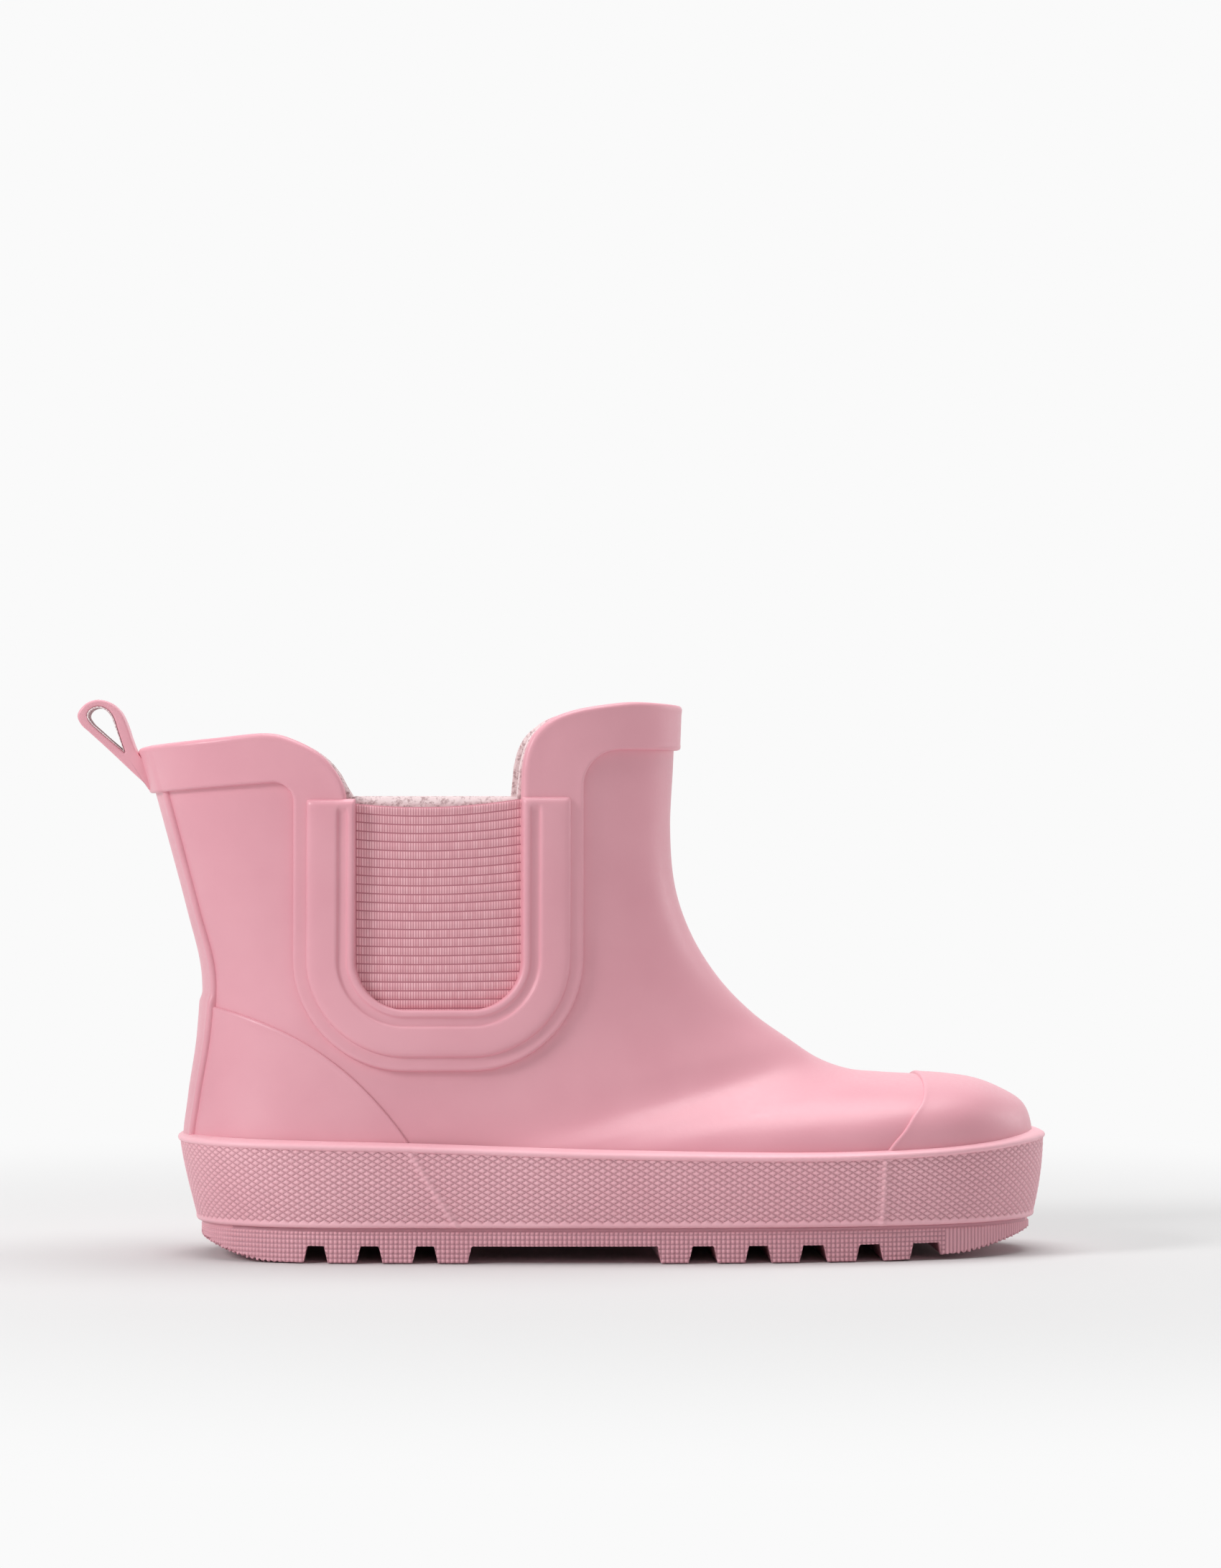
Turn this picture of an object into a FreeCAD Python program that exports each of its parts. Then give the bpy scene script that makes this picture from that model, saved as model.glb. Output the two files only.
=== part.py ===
"""A child's ankle-high rubber rain boot with elastic side gores, right foot.

Frame: +X to the toe, +Z up, -Y to the outer (lateral) side of the foot, millimetres.
The origin is on the floor, below the middle of the whole boot, pull loop included.

The solids are built about the middle of the leg and moved to that origin as they are written.
The rubber upper is laid up on a last, and the last is graded: its sections are given for the
reference size and stretched to the length, width and height that are asked for.  Everything that
is laid on the upper is a layer between two offsets of that last, cut to its outline seen from
the side.
"""
import FreeCAD, Part
import math
import os

V = FreeCAD.Vector

# ------------------------------------------------------------------ driving dimensions
# Overall size of the boot
boot_length = 195.0         # heel to toe over the foxing
boot_width = 77.0           # across the foxing at the ball of the foot
boot_height = 123.2         # floor to the highest point of the front collar

# Walls and layers
shell_wall = 1.6            # rubber upper
lining_wall = 0.9           # knitted lining
trim_thickness = 1.1        # collar and gore surround, second layer
frame_thickness = 1.4       # gore frame, third layer
counter_thickness = 0.55    # heel counter
cap_thickness = 0.55        # toe cap
stay_thickness = 0.7        # strip down the heel seam
stiffener_thickness = 0.5   # heel stiffener between lining and rubber
elastic_thickness = 1.2     # gore webbing
bond_gap = 0.05             # between pieces that are bonded face to face

# Gore
gore_width = 36.4           # webbing that shows, inside the frame
gore_bottom_radius = 11.0   # lower corners of the window
gore_margin = 4.0           # webbing held behind the rubber
frame_width = 10.6          # gore frame around the window
surround_width = 3.0        # step of the trim that shows outside the frame
lining_show = 1.5           # lining that stands above the webbing
notch_foot = 1.4            # how far behind the window the collar's notch comes down

# Sole
lug_height = 3.7
outsole_height = 7.6        # floor to the top of the outsole
foxing_thickness = 3.0
bead_height = 2.0           # rolled top edge of the foxing
bead_proud = 0.4            # how far the rolled edge stands out of the foxing
outsole_inset = 1.3         # outsole edge inside the foxing's lower edge
seat_sag = 0.5              # how far the upper's underside rounds down below its rim
board_seat = 0.15           # cement between the turned-under upper and the board
board_thickness = 1.2
foam_thickness = 3.0
cover_thickness = 0.8
footbed_clearance = 2.2     # around the loose footbed, which lifts out heel first
footbed_gap = 0.3           # under the loose footbed

# Back strip and pull loop
stay_width = 24.0
loop_width = 12.0
loop_strip = 1.7            # rubber of the loop's strip
tape_thickness = 0.35       # textile on the inside of the loop
eye_radius = 3.0            # clear hole of the loop
root_radius = 1.7           # rounded root that the loop bends about
anchor_thickness = 1.2
anchor_below = 4.4          # pad under the middle of the root
anchor_above = 0.4
hinge_clearance = 0.35      # around the rounded root

# ------------------------------------------------------------------ grading of the last
REFERENCE_LENGTH = 195.0
REFERENCE_WIDTH = 77.0
REFERENCE_HEIGHT = 123.2


def gx(x):
    """Length-wise place on the reference size, graded to this boot."""
    return x * boot_length / REFERENCE_LENGTH


def gy(y):
    """Width-wise place on the reference size, graded to this boot."""
    return y * boot_width / REFERENCE_WIDTH


def gz(z):
    """Height on the reference upper, graded between the sole and the collar."""
    share = (z - REFERENCE_SOLE) / (REFERENCE_HEIGHT - REFERENCE_SOLE)
    return sole_level + share * (boot_height - sole_level)


filler_thickness = 3.3
sole_level = outsole_height + filler_thickness + 2 * bond_gap   # underside of the upper
REFERENCE_SOLE = 11.0       # underside of the reference upper

# Sections of the last, from above the collar down the leg and forward to the toe.
# Each: back (or bottom) end x, z; front (or top) end x, z; half width; where along it is widest;
# squareness at the back (or bottom) end and at the front (or top) end; sideways shift.
SECTIONS = (
    (-95.0, 120.0, 25.9, 128.0, 28.6, 0.47, 2.5, 2.4, 0.0),
    (-90.6, 104.5, 25.2, 110.0, 28.6, 0.47, 2.5, 2.4, 0.0),
    (-86.9, 91.0, 24.5, 95.0, 28.4, 0.47, 2.5, 2.4, 0.0),
    (-83.2, 77.0, 25.6, 82.0, 28.0, 0.46, 2.5, 2.4, 0.0),
    (-80.0, 63.0, 29.4, 71.0, 27.8, 0.44, 2.4, 2.3, 0.0),
    (-80.4, 49.0, 35.6, 61.2, 28.2, 0.40, 2.4, 2.2, 0.0),
    (-82.4, 35.0, 43.2, 53.4, 29.2, 0.36, 2.4, 2.1, 0.2),
    (-83.2, 23.0, 51.0, 47.8, 30.4, 0.33, 2.5, 2.1, 0.5),
    (-78.0, 12.0, 58.0, 43.2, 32.0, 0.33, 3.2, 2.1, 0.9),
    (-52.0, 11.0, 65.0, 40.7, 34.0, 0.36, 3.4, 2.2, 1.3),
    (-20.0, 11.0, 72.0, 39.9, 35.6, 0.38, 3.4, 2.3, 1.7),
    (14.0, 11.0, 79.5, 39.4, 36.0, 0.38, 3.2, 2.4, 2.0),
    (44.0, 11.0, 87.0, 38.9, 34.8, 0.38, 3.0, 2.5, 2.4),
    (68.0, 11.0, 94.0, 37.8, 31.2, 0.40, 2.8, 2.5, 2.9),
    (85.0, 11.0, 99.6, 35.6, 25.4, 0.42, 2.6, 2.4, 3.4),
    (95.5, 11.6, 103.9, 32.8, 18.2, 0.44, 2.4, 2.3, 3.8),
    (101.5, 13.4, 105.7, 28.6, 11.6, 0.46, 2.3, 2.2, 4.0),
    (104.4, 16.0, 105.8, 23.6, 6.2, 0.50, 2.2, 2.2, 4.1),
)

plan_middle = V(gx(0.4), gy(1.93), 0)   # middle of the whole boot, in the last's own frame

ROUND_POINTS = 36           # points around a section
STEPS_PER_SECTION = 2       # surface rows between two given sections
OVERSHOOT = 3.0             # how far a cutting body runs past what it cuts
WIDE = 90.0                 # half length of prisms across the boot


# ------------------------------------------------------------------ the last as a surface
def catmull(a, b, c, d, f):
    """Smooth value between b and c at fraction f, with a and d on either side."""
    return 0.5 * (2 * b + (c - a) * f + (2 * a - 5 * b + 4 * c - d) * f * f
                  + (3 * b - a - 3 * c + d) * f ** 3)


def section_at(t):
    """Values of the last's section at place t, 0 above the collar to 17 at the toe."""
    last = len(SECTIONS) - 1
    i = min(int(t), last - 1)
    rows = [SECTIONS[min(max(k, 0), last)] for k in (i - 1, i, i + 1, i + 2)]
    return [catmull(*values, t - i) for values in zip(*rows)]


def profile_ends(t):
    """Graded back and front ends of the section at t, seen from the side."""
    bx, bz, fx, fz = section_at(t)[:4]
    return (gx(bx), gz(bz)), (gx(fx), gz(fz))


def profile_normals(t):
    """Outward directions of the back and front profiles at t, seen from the side."""
    last = len(SECTIONS) - 1
    lo, hi = max(t - 0.2, 0.0), min(t + 0.2, float(last))
    normals = []
    for end, turn in ((0, -1.0), (1, 1.0)):
        x0, z0 = profile_ends(lo)[end]
        x1, z1 = profile_ends(hi)[end]
        size = math.hypot(x1 - x0, z1 - z0)
        normals.append((-turn * (z1 - z0) / size, turn * (x1 - x0) / size))
    return normals


def section_points(t, offset, rise):
    """Closed ring of points of the section at t, moved out by offset."""
    (bx, bz), (fx, fz) = profile_ends(t)
    (nbx, nbz), (nfx, nfz) = profile_normals(t)
    half, widest, back_power, front_power, shift = section_at(t)[4:]
    bx, bz = bx + offset * nbx, bz + offset * nbz + rise
    fx, fz = fx + offset * nfx, fz + offset * nfz + rise
    half = gy(half) + offset
    points = []
    for k in range(ROUND_POINTS + 1):
        angle = 2 * math.pi * k / ROUND_POINTS
        c, s = math.cos(angle), math.sin(angle)
        power = back_power if c > 0 else front_power
        along = abs(c) ** (2 / power)
        across = abs(s) ** (2 / power)
        share = widest * (1 - along) if c > 0 else widest + (1 - widest) * along
        side = -1.0 if s > 0 else 1.0
        points.append(V(bx + share * (fx - bx), gy(shift) + side * half * across,
                        bz + share * (fz - bz)))
    points[-1] = points[0]
    return points


def form(offset, rise=0.0):
    """Solid inside the last's surface moved out by offset, its mouth raised by rise."""
    last = len(SECTIONS) - 1
    rows = []
    for k in range(last * STEPS_PER_SECTION + 1):
        t = k / STEPS_PER_SECTION
        rows.append(section_points(t, offset, rise if k == 0 else 0.0))
    surface = Part.BSplineSurface()
    surface.interpolate(rows)
    skin = surface.toShape()
    caps = [Part.Face(Part.Wire(edge)) for edge in skin.Edges if edge.isClosed()]
    shell = Part.makeShell([skin] + caps)
    shell.sewShape()
    solid = Part.makeSolid(shell)
    if solid.Volume < 0:
        solid.reverse()
    return solid


FORMS = {}


def form_at(offset):
    """The last at an offset, made once."""
    key = round(offset, 3)
    if key not in FORMS:
        FORMS[key] = form(offset)
    return FORMS[key]


def layer(low, high, body):
    """Piece of the layer between two offsets of the last that lies inside body."""
    hollow = form(low, rise=OVERSHOOT)
    return form_at(high).common(body).cut(hollow)


# ------------------------------------------------------------------ outlines seen from the side
def prism(wire_points, half=WIDE, middle=0.0):
    """Prism across the boot of a closed side outline of lines."""
    points = [V(x, middle - half, z) for x, z in wire_points]
    wire = Part.makePolygon(points + points[:1])
    return Part.Face(wire).extrude(V(0, 2 * half, 0))


def prism_of(edges, half=WIDE, middle=0.0):
    """Prism across the boot of a closed side outline of edges in the plane y = 0."""
    wire = Part.Wire(Part.__sortEdges__(edges))
    wire.translate(V(0, middle - half, 0))
    return Part.Face(wire).extrude(V(0, 2 * half, 0))


def curve(points):
    """Smooth edge through side points."""
    spline = Part.BSplineCurve()
    spline.interpolate([V(x, 0, z) for x, z in points])
    return spline.toShape()


def line(a, b):
    """Straight edge between two side points."""
    return Part.makeLine(V(a[0], 0, a[1]), V(b[0], 0, b[1]))


gore_middle = gx(-27.9)     # middle of the webbing
gore_top = gz(100.7)
gore_bottom = gz(55.4)
gore_back = gore_middle - gore_width / 2
gore_front = gore_middle + gore_width / 2
frame_back_rise = 0.8       # frame's limbs above the webbing
frame_front_rise = 1.8
HIGH = gz(135.0)            # above everything


def u_prism(grow, top):
    """U-shaped window of the gore, grown on its sides and bottom, up to a level."""
    x0, x1 = gore_back - grow, gore_front + grow
    z0 = gore_bottom - grow
    r = gore_bottom_radius + grow
    box = Part.makeBox(x1 - x0, 2 * WIDE, top - z0 - r, V(x0, -WIDE, z0 + r))
    foot = Part.makeBox(x1 - x0 - 2 * r, 2 * WIDE, r + OVERSHOOT, V(x0 + r, -WIDE, z0))
    corners = [Part.makeCylinder(r, 2 * WIDE, V(x, -WIDE, z0 + r), V(0, 1, 0))
               for x in (x0 + r, x1 - r)]
    return box.fuse([foot] + corners).removeSplitter()


def topline_body(drop, notch_level):
    """Everything below the collar line lowered by drop, with the gore notch at a level."""
    back = gx(-101.0)
    front = gx(34.0)
    rear = curve([(back, gz(112.3) - drop), (gx(-92.5), gz(113.4) - drop),
                  (gx(-78.1), gz(115.0) - drop), (gx(-64.9), gz(116.1) - drop),
                  (gore_back - 13.8, gz(115.0) - drop), (gore_back - 7.4, gz(111.8) - drop),
                  (gore_back - 2.2, gz(106.0) - drop), (gore_back - notch_foot, notch_level)])
    fore = curve([(gore_front, notch_level), (gore_front + 0.9, gz(108.4) - drop),
                  (gore_front + 3.7, gz(115.0) - drop), (gore_front + 8.1, gz(118.4) - drop),
                  (gore_front + 14.2, gz(121.4) - drop), (gx(15.8), gz(123.2) - drop),
                  (gx(25.9), gz(122.6) - drop), (front, gz(121.6) - drop)])
    low = gz(0.0) - OVERSHOOT
    ends = (front, gz(121.6) - drop), (front, low), (back, low), (back, gz(112.3) - drop)
    toe = gx(REFERENCE_LENGTH)
    notch = line((gore_back - notch_foot, notch_level), (gore_front, notch_level))
    body = prism_of([rear, notch, fore] + [line(a, b) for a, b in zip(ends, ends[1:])])
    return body.fuse(prism([(front, low), (toe, low), (toe, gz(60.0)), (front, gz(75.0))]))


def step_body():
    """Below the collar's lower step: what the trim leaves open on the upper."""
    u_back = gore_back - frame_width - surround_width
    u_front = gore_front + frame_width + surround_width
    rear_z0, rear_z1, front_z = gz(103.2), gz(105.3), gz(112.5)
    r_rear, r_front = 4.3, 8.0
    rear = [(gx(-101.0), rear_z0), (u_back - r_rear, rear_z1)]
    low = gz(0.0) - OVERSHOOT
    edges = [line(*rear), line((u_back, rear_z1 - r_rear), (u_back, low)),
             line((u_back, low), (gx(-101.0), low)), line((gx(-101.0), low), rear[0])]
    edges.append(Part.Arc(V(rear[1][0], 0, rear_z1),
                          V(u_back - r_rear * (1 - math.sin(math.pi / 4)), 0,
                            rear_z1 - r_rear * (1 - math.cos(math.pi / 4))),
                          V(u_back, 0, rear_z1 - r_rear)).toShape())
    behind = prism_of(edges)
    far = gx(REFERENCE_LENGTH)
    edges = [line((u_front, low), (u_front, front_z - r_front)),
             line((u_front + r_front, front_z), (far, front_z)),
             line((far, front_z), (far, low)), line((far, low), (u_front, low))]
    edges.append(Part.Arc(V(u_front, 0, front_z - r_front),
                          V(u_front + r_front * (1 - math.cos(math.pi / 4)), 0,
                            front_z - r_front * (1 - math.sin(math.pi / 4))),
                          V(u_front + r_front, 0, front_z)).toShape())
    ahead = prism_of(edges)
    under = Part.makeBox(2 * far, 2 * WIDE, gore_bottom - low, V(-far, -WIDE, low))
    return behind.fuse([ahead, under])


def foxing_line():
    """Side points of the foxing's top edge, from behind the heel to past the toe."""
    return [(gx(-100.0), gz(27.4)), (gx(-86.0), gz(27.2)), (gx(-40.0), gz(26.4)),
            (gx(15.0), gz(24.7)), (gx(62.0), gz(24.2)), (gx(92.0), gz(25.5)),
            (gx(108.0), gz(27.0)), (gx(125.0), gz(29.0))]


def below_foxing_line(drop):
    """Everything below the foxing's top edge lowered by drop."""
    points = [(x, z - drop) for x, z in foxing_line()]
    low = -OVERSHOOT
    (x0, z0), (x1, z1) = points[0], points[-1]
    return prism_of([curve(points), line((x1, z1), (x1, low)), line((x1, low), (x0, low)),
                     line((x0, low), (x0, z0))])


def above(level):
    """Everything above a level."""
    return Part.makeBox(2 * gx(150.0), 2 * WIDE, HIGH - level, V(-gx(150.0), -WIDE, level))


# ------------------------------------------------------------------ outlines seen from above
def plan_ring(level, grow, offset=0.0):
    """Outline at a level of the last moved out by offset, grown, as a list of points."""
    wire = max(form_at(offset).slice(V(0, 0, 1), level), key=lambda w: w.Length)
    raw = wire.discretize(73)[:-1]
    area = sum(a.x * b.y - b.x * a.y for a, b in zip(raw, raw[1:] + raw[:1]))
    if area < 0:
        raw.reverse()
    count = len(raw)
    ring = []
    for k, p in enumerate(raw):
        run = raw[(k + 1) % count] - raw[k - 1]
        size = math.hypot(run.x, run.y)
        push = grow(p.x) if callable(grow) else grow
        ring.append(V(p.x + push * run.y / size, p.y - push * run.x / size, p.z))
    return ring


def ring_wire(ring, z):
    """Closed smooth wire through an outline, at height z."""
    spline = Part.BSplineCurve()
    spline.interpolate([V(p.x, p.y, z) for p in ring], PeriodicFlag=True)
    return Part.Wire(spline.toShape())


def slab(ring, z0, z1):
    """Flat plate of an outline between two heights."""
    return Part.Face(ring_wire(ring, z0)).extrude(V(0, 0, z1 - z0))


widest_level = gz(20.0)     # where the upper is widest, inside the foxing

# Levels of the foxing's outside, and how far it lies inside its outline at heel, side and toe
DRAFT_LEVELS = (outsole_height + bond_gap, gz(13.5), gz(20.0), gz(32.0))
DRAFTS = ((4.4, 2.4, 1.75), (2.9, 0.9, 0.45), (1.3, 0.0, -0.45), (-0.2, -0.2, -0.5))


def foxing_ring(level, grow=0.0):
    """Outline of the foxing's outside at one of its levels, grown."""
    heel_draft, side_draft, toe_draft = DRAFTS[level]

    def push(x):
        heel = min(max((gx(-50.0) - x) / gx(36.0), 0.0), 1.0)
        toe = min(max((x - gx(70.0)) / gx(36.0), 0.0), 1.0)
        inset = (side_draft + heel * (heel_draft - side_draft)
                 + toe * (toe_draft - side_draft))
        return foxing_thickness + grow - inset
    return plan_ring(widest_level, push)


def foxing_body(grow=0.0):
    """Solid inside the foxing's outside, from the outsole to above its top edge."""
    wires = [ring_wire(foxing_ring(k, grow), z) for k, z in enumerate(DRAFT_LEVELS)]
    return Part.makeLoft(wires, True, False)


# ------------------------------------------------------------------ pieces
def upper_shell():
    """Rubber upper: leg, vamp and the part turned under the foot, open for the gores."""
    body = layer(-shell_wall, 0.0, topline_body(0.0, gore_top))
    return body.cut(u_prism(gore_margin + bond_gap, HIGH))


def topline_trim():
    """Second layer: collar band and the surround of both gores, in one piece."""
    low = bond_gap
    outer = u_prism(frame_width + surround_width, HIGH)
    above_step = above(gz(40.0)).cut(step_body())
    region = topline_body(0.0, gore_top).common(above_step.fuse(outer))
    return layer(low, low + trim_thickness, region.cut(u_prism(0.0, HIGH)))


frame_low = 2 * bond_gap + trim_thickness


def gore_frame(side):
    """Third layer: U-shaped frame around one gore window."""
    slope = prism([(gore_back - 20, gore_top + frame_back_rise),
                   (gore_front + 20, gore_top + frame_front_rise),
                   (gore_front + 20, -OVERSHOOT), (gore_back - 20, -OVERSHOOT)])
    region = u_prism(frame_width, HIGH).cut(u_prism(0.0, HIGH)).common(slope)
    return layer(frame_low, frame_low + frame_thickness, half_space(region, side))


def half_space(body, side):
    """The part of a body on the outer (-1) or inner (+1) side of the foot."""
    size = 2 * WIDE
    corner = V(-gx(150.0), 0.0 if side > 0 else -size, -OVERSHOOT * 4)
    return body.common(Part.makeBox(2 * gx(150.0), size, size * 2, corner))


def gore_elastic(side):
    """Elastic webbing of one gore, held behind the rubber all round."""
    region = u_prism(gore_margin, gore_top - bond_gap)
    top = -bond_gap
    return layer(top - elastic_thickness, top, half_space(region, side))


lining_high = -(shell_wall + bond_gap)


def lining_region():
    """Everything below the lining's top edge."""
    return topline_body(0.4, gore_top + lining_show)


def lining(side):
    """One half of the knitted lining, leg and foot, without the sole."""
    seam = 0.1
    region = lining_region().common(above(lining_sole_level + lining_wall + bond_gap))
    size = 2 * WIDE
    corner = V(-gx(150.0), seam if side > 0 else -size - seam, -OVERSHOOT)
    half = Part.makeBox(2 * gx(150.0), size, size, corner)
    body = layer(lining_high - lining_wall, lining_high, region.common(half))
    stiffener = form_at(lining_high).common(stiffener_region(bond_gap))
    return body.cut(stiffener.cut(form(lining_high - stiffener_thickness - bond_gap,
                                       rise=OVERSHOOT)))


def stiffener_region(grow):
    """Space of the heel stiffener, seen from the side."""
    return prism([(gx(-100.0), gz(17.0) - grow), (gx(-45.0) + grow, gz(17.0) - grow),
                  (gx(-58.0) + grow, gz(46.0) + grow), (gx(-100.0), gz(50.0) + grow)])


def heel_stiffener():
    """Stiff cup around the heel, between the lining and the rubber."""
    return layer(lining_high - stiffener_thickness, lining_high, stiffener_region(0.0))


def inner_plate(z, thickness, clearance):
    """Flat plate that fills the upper at a height, inside its walls."""
    inside = form_at(-shell_wall - clearance)
    box = Part.makeBox(2 * gx(150.0), 2 * WIDE, thickness, V(-gx(150.0), -WIDE, z))
    return inside.common(box)


board_level = sole_level + shell_wall + board_seat
lining_sole_level = board_level + board_thickness + bond_gap


def insole_board():
    """Stiff board on the turned-under rubber."""
    return inner_plate(board_level, board_thickness, bond_gap)


def lining_sole():
    """Sole of the lining, on the board."""
    return inner_plate(lining_sole_level, lining_wall, bond_gap)


footbed_level = lining_sole_level + lining_wall + footbed_gap


def footbed_ring():
    """Outline of the loose footbed, clear of the lining where the lining is narrowest."""
    return plan_ring(footbed_level, -footbed_clearance, lining_high - lining_wall)


def footbed_foam():
    """Loose footbed's foam."""
    return slab(footbed_ring(), footbed_level, footbed_level + foam_thickness)


def footbed_cover():
    """Knitted cover on the footbed's foam."""
    z = footbed_level + foam_thickness + bond_gap
    return slab(footbed_ring(), z, z + cover_thickness)


def counter_edge():
    """Side outline of the heel counter."""
    low = gz(10.0)
    top = [(gx(-95.0), gz(56.8)), (gx(-77.0), gz(55.5)), (gx(-60.5), gz(49.8)),
           (gx(-48.5), gz(42.0)), (gx(-39.8), gz(32.6)), (gx(-34.0), gz(24.0)),
           (gx(-27.0), low)]
    return prism_of([curve(top), line(top[-1], (gx(-95.0), low)),
                     line((gx(-95.0), low), top[0])])


def clear_of_foxing():
    """Everything above the foxing's top edge."""
    return above(-OVERSHOOT).cut(below_foxing_line(-bond_gap))


def heel_counter():
    """Rubber layer around the heel, below the ankle."""
    region = counter_edge().common(clear_of_foxing())
    return layer(bond_gap, bond_gap + counter_thickness, region)


def toe_cap():
    """Rubber layer over the toes."""
    low = gz(10.0)
    edge = [(gx(76.5), gz(46.0)), (gx(78.7), gz(38.6)), (gx(77.8), gz(35.0)),
            (gx(74.9), gz(30.0)), (gx(71.1), gz(25.1)), (gx(61.0), low)]
    front = gx(120.0)
    region = prism_of([curve(edge), line(edge[-1], (front, low)),
                       line((front, low), (front, gz(46.0))),
                       line((front, gz(46.0)), edge[0])])
    return layer(bond_gap, bond_gap + cap_thickness, region.common(clear_of_foxing()))


def back_stay():
    """Strip down the heel seam, from the collar to the foxing, over the heel counter."""
    half = stay_width / 2
    behind = gx(60.0)
    step = gz(57.5)
    band = Part.makeBox(behind, 2 * half, HIGH, V(gx(-110.0), -half, 0))
    under_trim = band.cut(above(gz(103.2) - bond_gap)).common(clear_of_foxing())
    upper = layer(bond_gap, bond_gap + stay_thickness, under_trim.common(above(step)))
    over = 2 * bond_gap + counter_thickness
    low = under_trim.cut(above(step + stay_thickness))
    return upper.fuse(layer(over, over + stay_thickness, low))


def foxing():
    """Rubber sidewall around the sole and the foot of the upper."""
    body = foxing_body().common(below_foxing_line(bead_height + bond_gap))
    inside = form(bond_gap, rise=OVERSHOOT)
    core = slab(foxing_ring(0, -foxing_thickness), outsole_height - OVERSHOOT,
                sole_level + foxing_thickness)
    return body.cut(inside).cut(core)


def foxing_bead():
    """Rolled top edge of the foxing."""
    body = foxing_body(bead_proud).common(below_foxing_line(0.0))
    return body.cut(below_foxing_line(bead_height)).cut(form(bond_gap, rise=OVERSHOOT))


def midsole_filler():
    """Sponge that fills the foxing between the outsole and the upper."""
    ring = foxing_ring(0, -foxing_thickness - bond_gap)
    return slab(ring, outsole_height + bond_gap, sole_level - seat_sag)


# Lugs along the near edge: start and end of each at the floor
HEEL_LUGS = ((-90.0, -57.7), (-52.2, -45.9), (-40.2, -33.7), (-28.1, -21.6))
FORE_LUGS = ((20.8, 26.8), (33.2, 39.2), (45.1, 51.2), (57.5, 63.8), (70.1, 75.9),
             (83.5, 110.0))
FLANK = 0.85                # how far a lug widens from the floor to its root
HEEL_ROLL_RADIUS = 60.0
HEEL_ROLL_START = -58.0
TOE_ROLL_RADIUS = 110.0
TOE_ROLL_START = 69.0


def outsole():
    """Outsole with cross lugs, an arch gap, and rolled heel and toe edges."""
    ring = foxing_ring(0, -outsole_inset)
    body = slab(ring, 0.0, outsole_height)
    lugs = HEEL_LUGS + FORE_LUGS
    for (_, start), (end, _) in zip(lugs, lugs[1:]):
        body = body.cut(prism([(gx(start) - FLANK, -OVERSHOOT), (gx(start), 0.0),
                               (gx(start) + FLANK, lug_height),
                               (gx(end) - FLANK, lug_height), (gx(end), 0.0),
                               (gx(end) + FLANK, -OVERSHOOT)]))
    for start, radius, way in ((gx(HEEL_ROLL_START), HEEL_ROLL_RADIUS, -1),
                               (gx(TOE_ROLL_START), TOE_ROLL_RADIUS, 1)):
        end = start + way * radius
        middle = V(start + way * radius * math.sin(math.pi / 4), 0,
                   radius * (1 - math.cos(math.pi / 4)))
        arc = Part.Arc(V(start, 0, 0), middle, V(end, 0, radius)).toShape()
        body = body.cut(prism_of([arc, line((end, radius), (end, -OVERSHOOT)),
                                  line((end, -OVERSHOOT), (start, -OVERSHOOT)),
                                  line((start, -OVERSHOOT), (start, 0))]))
    return body


def back_of(offset, z):
    """Length-wise place of the heel seam at a height, moved out by offset."""
    last = len(SECTIONS) - 1
    for k in range(last * 50):
        x, level = profile_ends(k / 50)[0]
        if level <= z:
            nx, nz = profile_normals(k / 50)[0]
            return x + offset * nx
    raise ValueError("height below the heel")


trim_outside = bond_gap + trim_thickness
root_z = gz(108.0)
root_x = back_of(trim_outside, root_z) - anchor_thickness - root_radius + 0.55
eye_x = root_x - 8.4
eye_z = root_z + 10.8
neck_x = root_x - 4.0
neck_z = root_z + 4.8
NECK_RADIUS = 2.7
TIP_RADIUS = 0.35


def capsule(a, ra, b, rb, width):
    """Bar across the boot: two circles in side view and their common tangents."""
    run = math.hypot(b[0] - a[0], b[1] - a[1])
    turn = math.atan2(b[1] - a[1], b[0] - a[0])
    lean = math.acos((ra - rb) / run)
    ends = []
    for sign in (1, -1):
        angle = turn + sign * lean
        unit = (math.cos(angle), math.sin(angle))
        ends.append((V(a[0] + ra * unit[0], 0, a[1] + ra * unit[1]),
                     V(b[0] + rb * unit[0], 0, b[1] + rb * unit[1])))
    back = V(a[0] - ra * math.cos(turn), 0, a[1] - ra * math.sin(turn))
    tip = V(b[0] + rb * math.cos(turn), 0, b[1] + rb * math.sin(turn))
    edges = [Part.makeLine(ends[0][0], ends[0][1]),
             Part.Arc(ends[0][1], tip, ends[1][1]).toShape(),
             Part.makeLine(ends[1][1], ends[1][0]),
             Part.Arc(ends[1][0], back, ends[0][0]).toShape()]
    return prism_of(edges, width / 2)


def eye(grow, width):
    """The loop's drop-shaped hole, grown outwards."""
    return capsule((eye_x, eye_z), eye_radius + grow, (neck_x, neck_z),
                   TIP_RADIUS + grow, width)


def pull_loop():
    """Rubber strip folded into a loop, with a rounded root."""
    outer = eye_radius + tape_thickness + loop_strip
    body = capsule((eye_x, eye_z), outer, (neck_x, neck_z), NECK_RADIUS, loop_width)
    stem = capsule((neck_x, neck_z), NECK_RADIUS, (root_x, root_z), root_radius,
                   loop_width)
    hole = eye(tape_thickness + bond_gap, 2 * loop_width)
    return body.fuse(stem).removeSplitter().cut(hole)


def pull_loop_tape():
    """Textile tape on the inside of the loop."""
    return eye(tape_thickness, loop_width - 0.6).cut(eye(0.0, 2 * loop_width))


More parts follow.
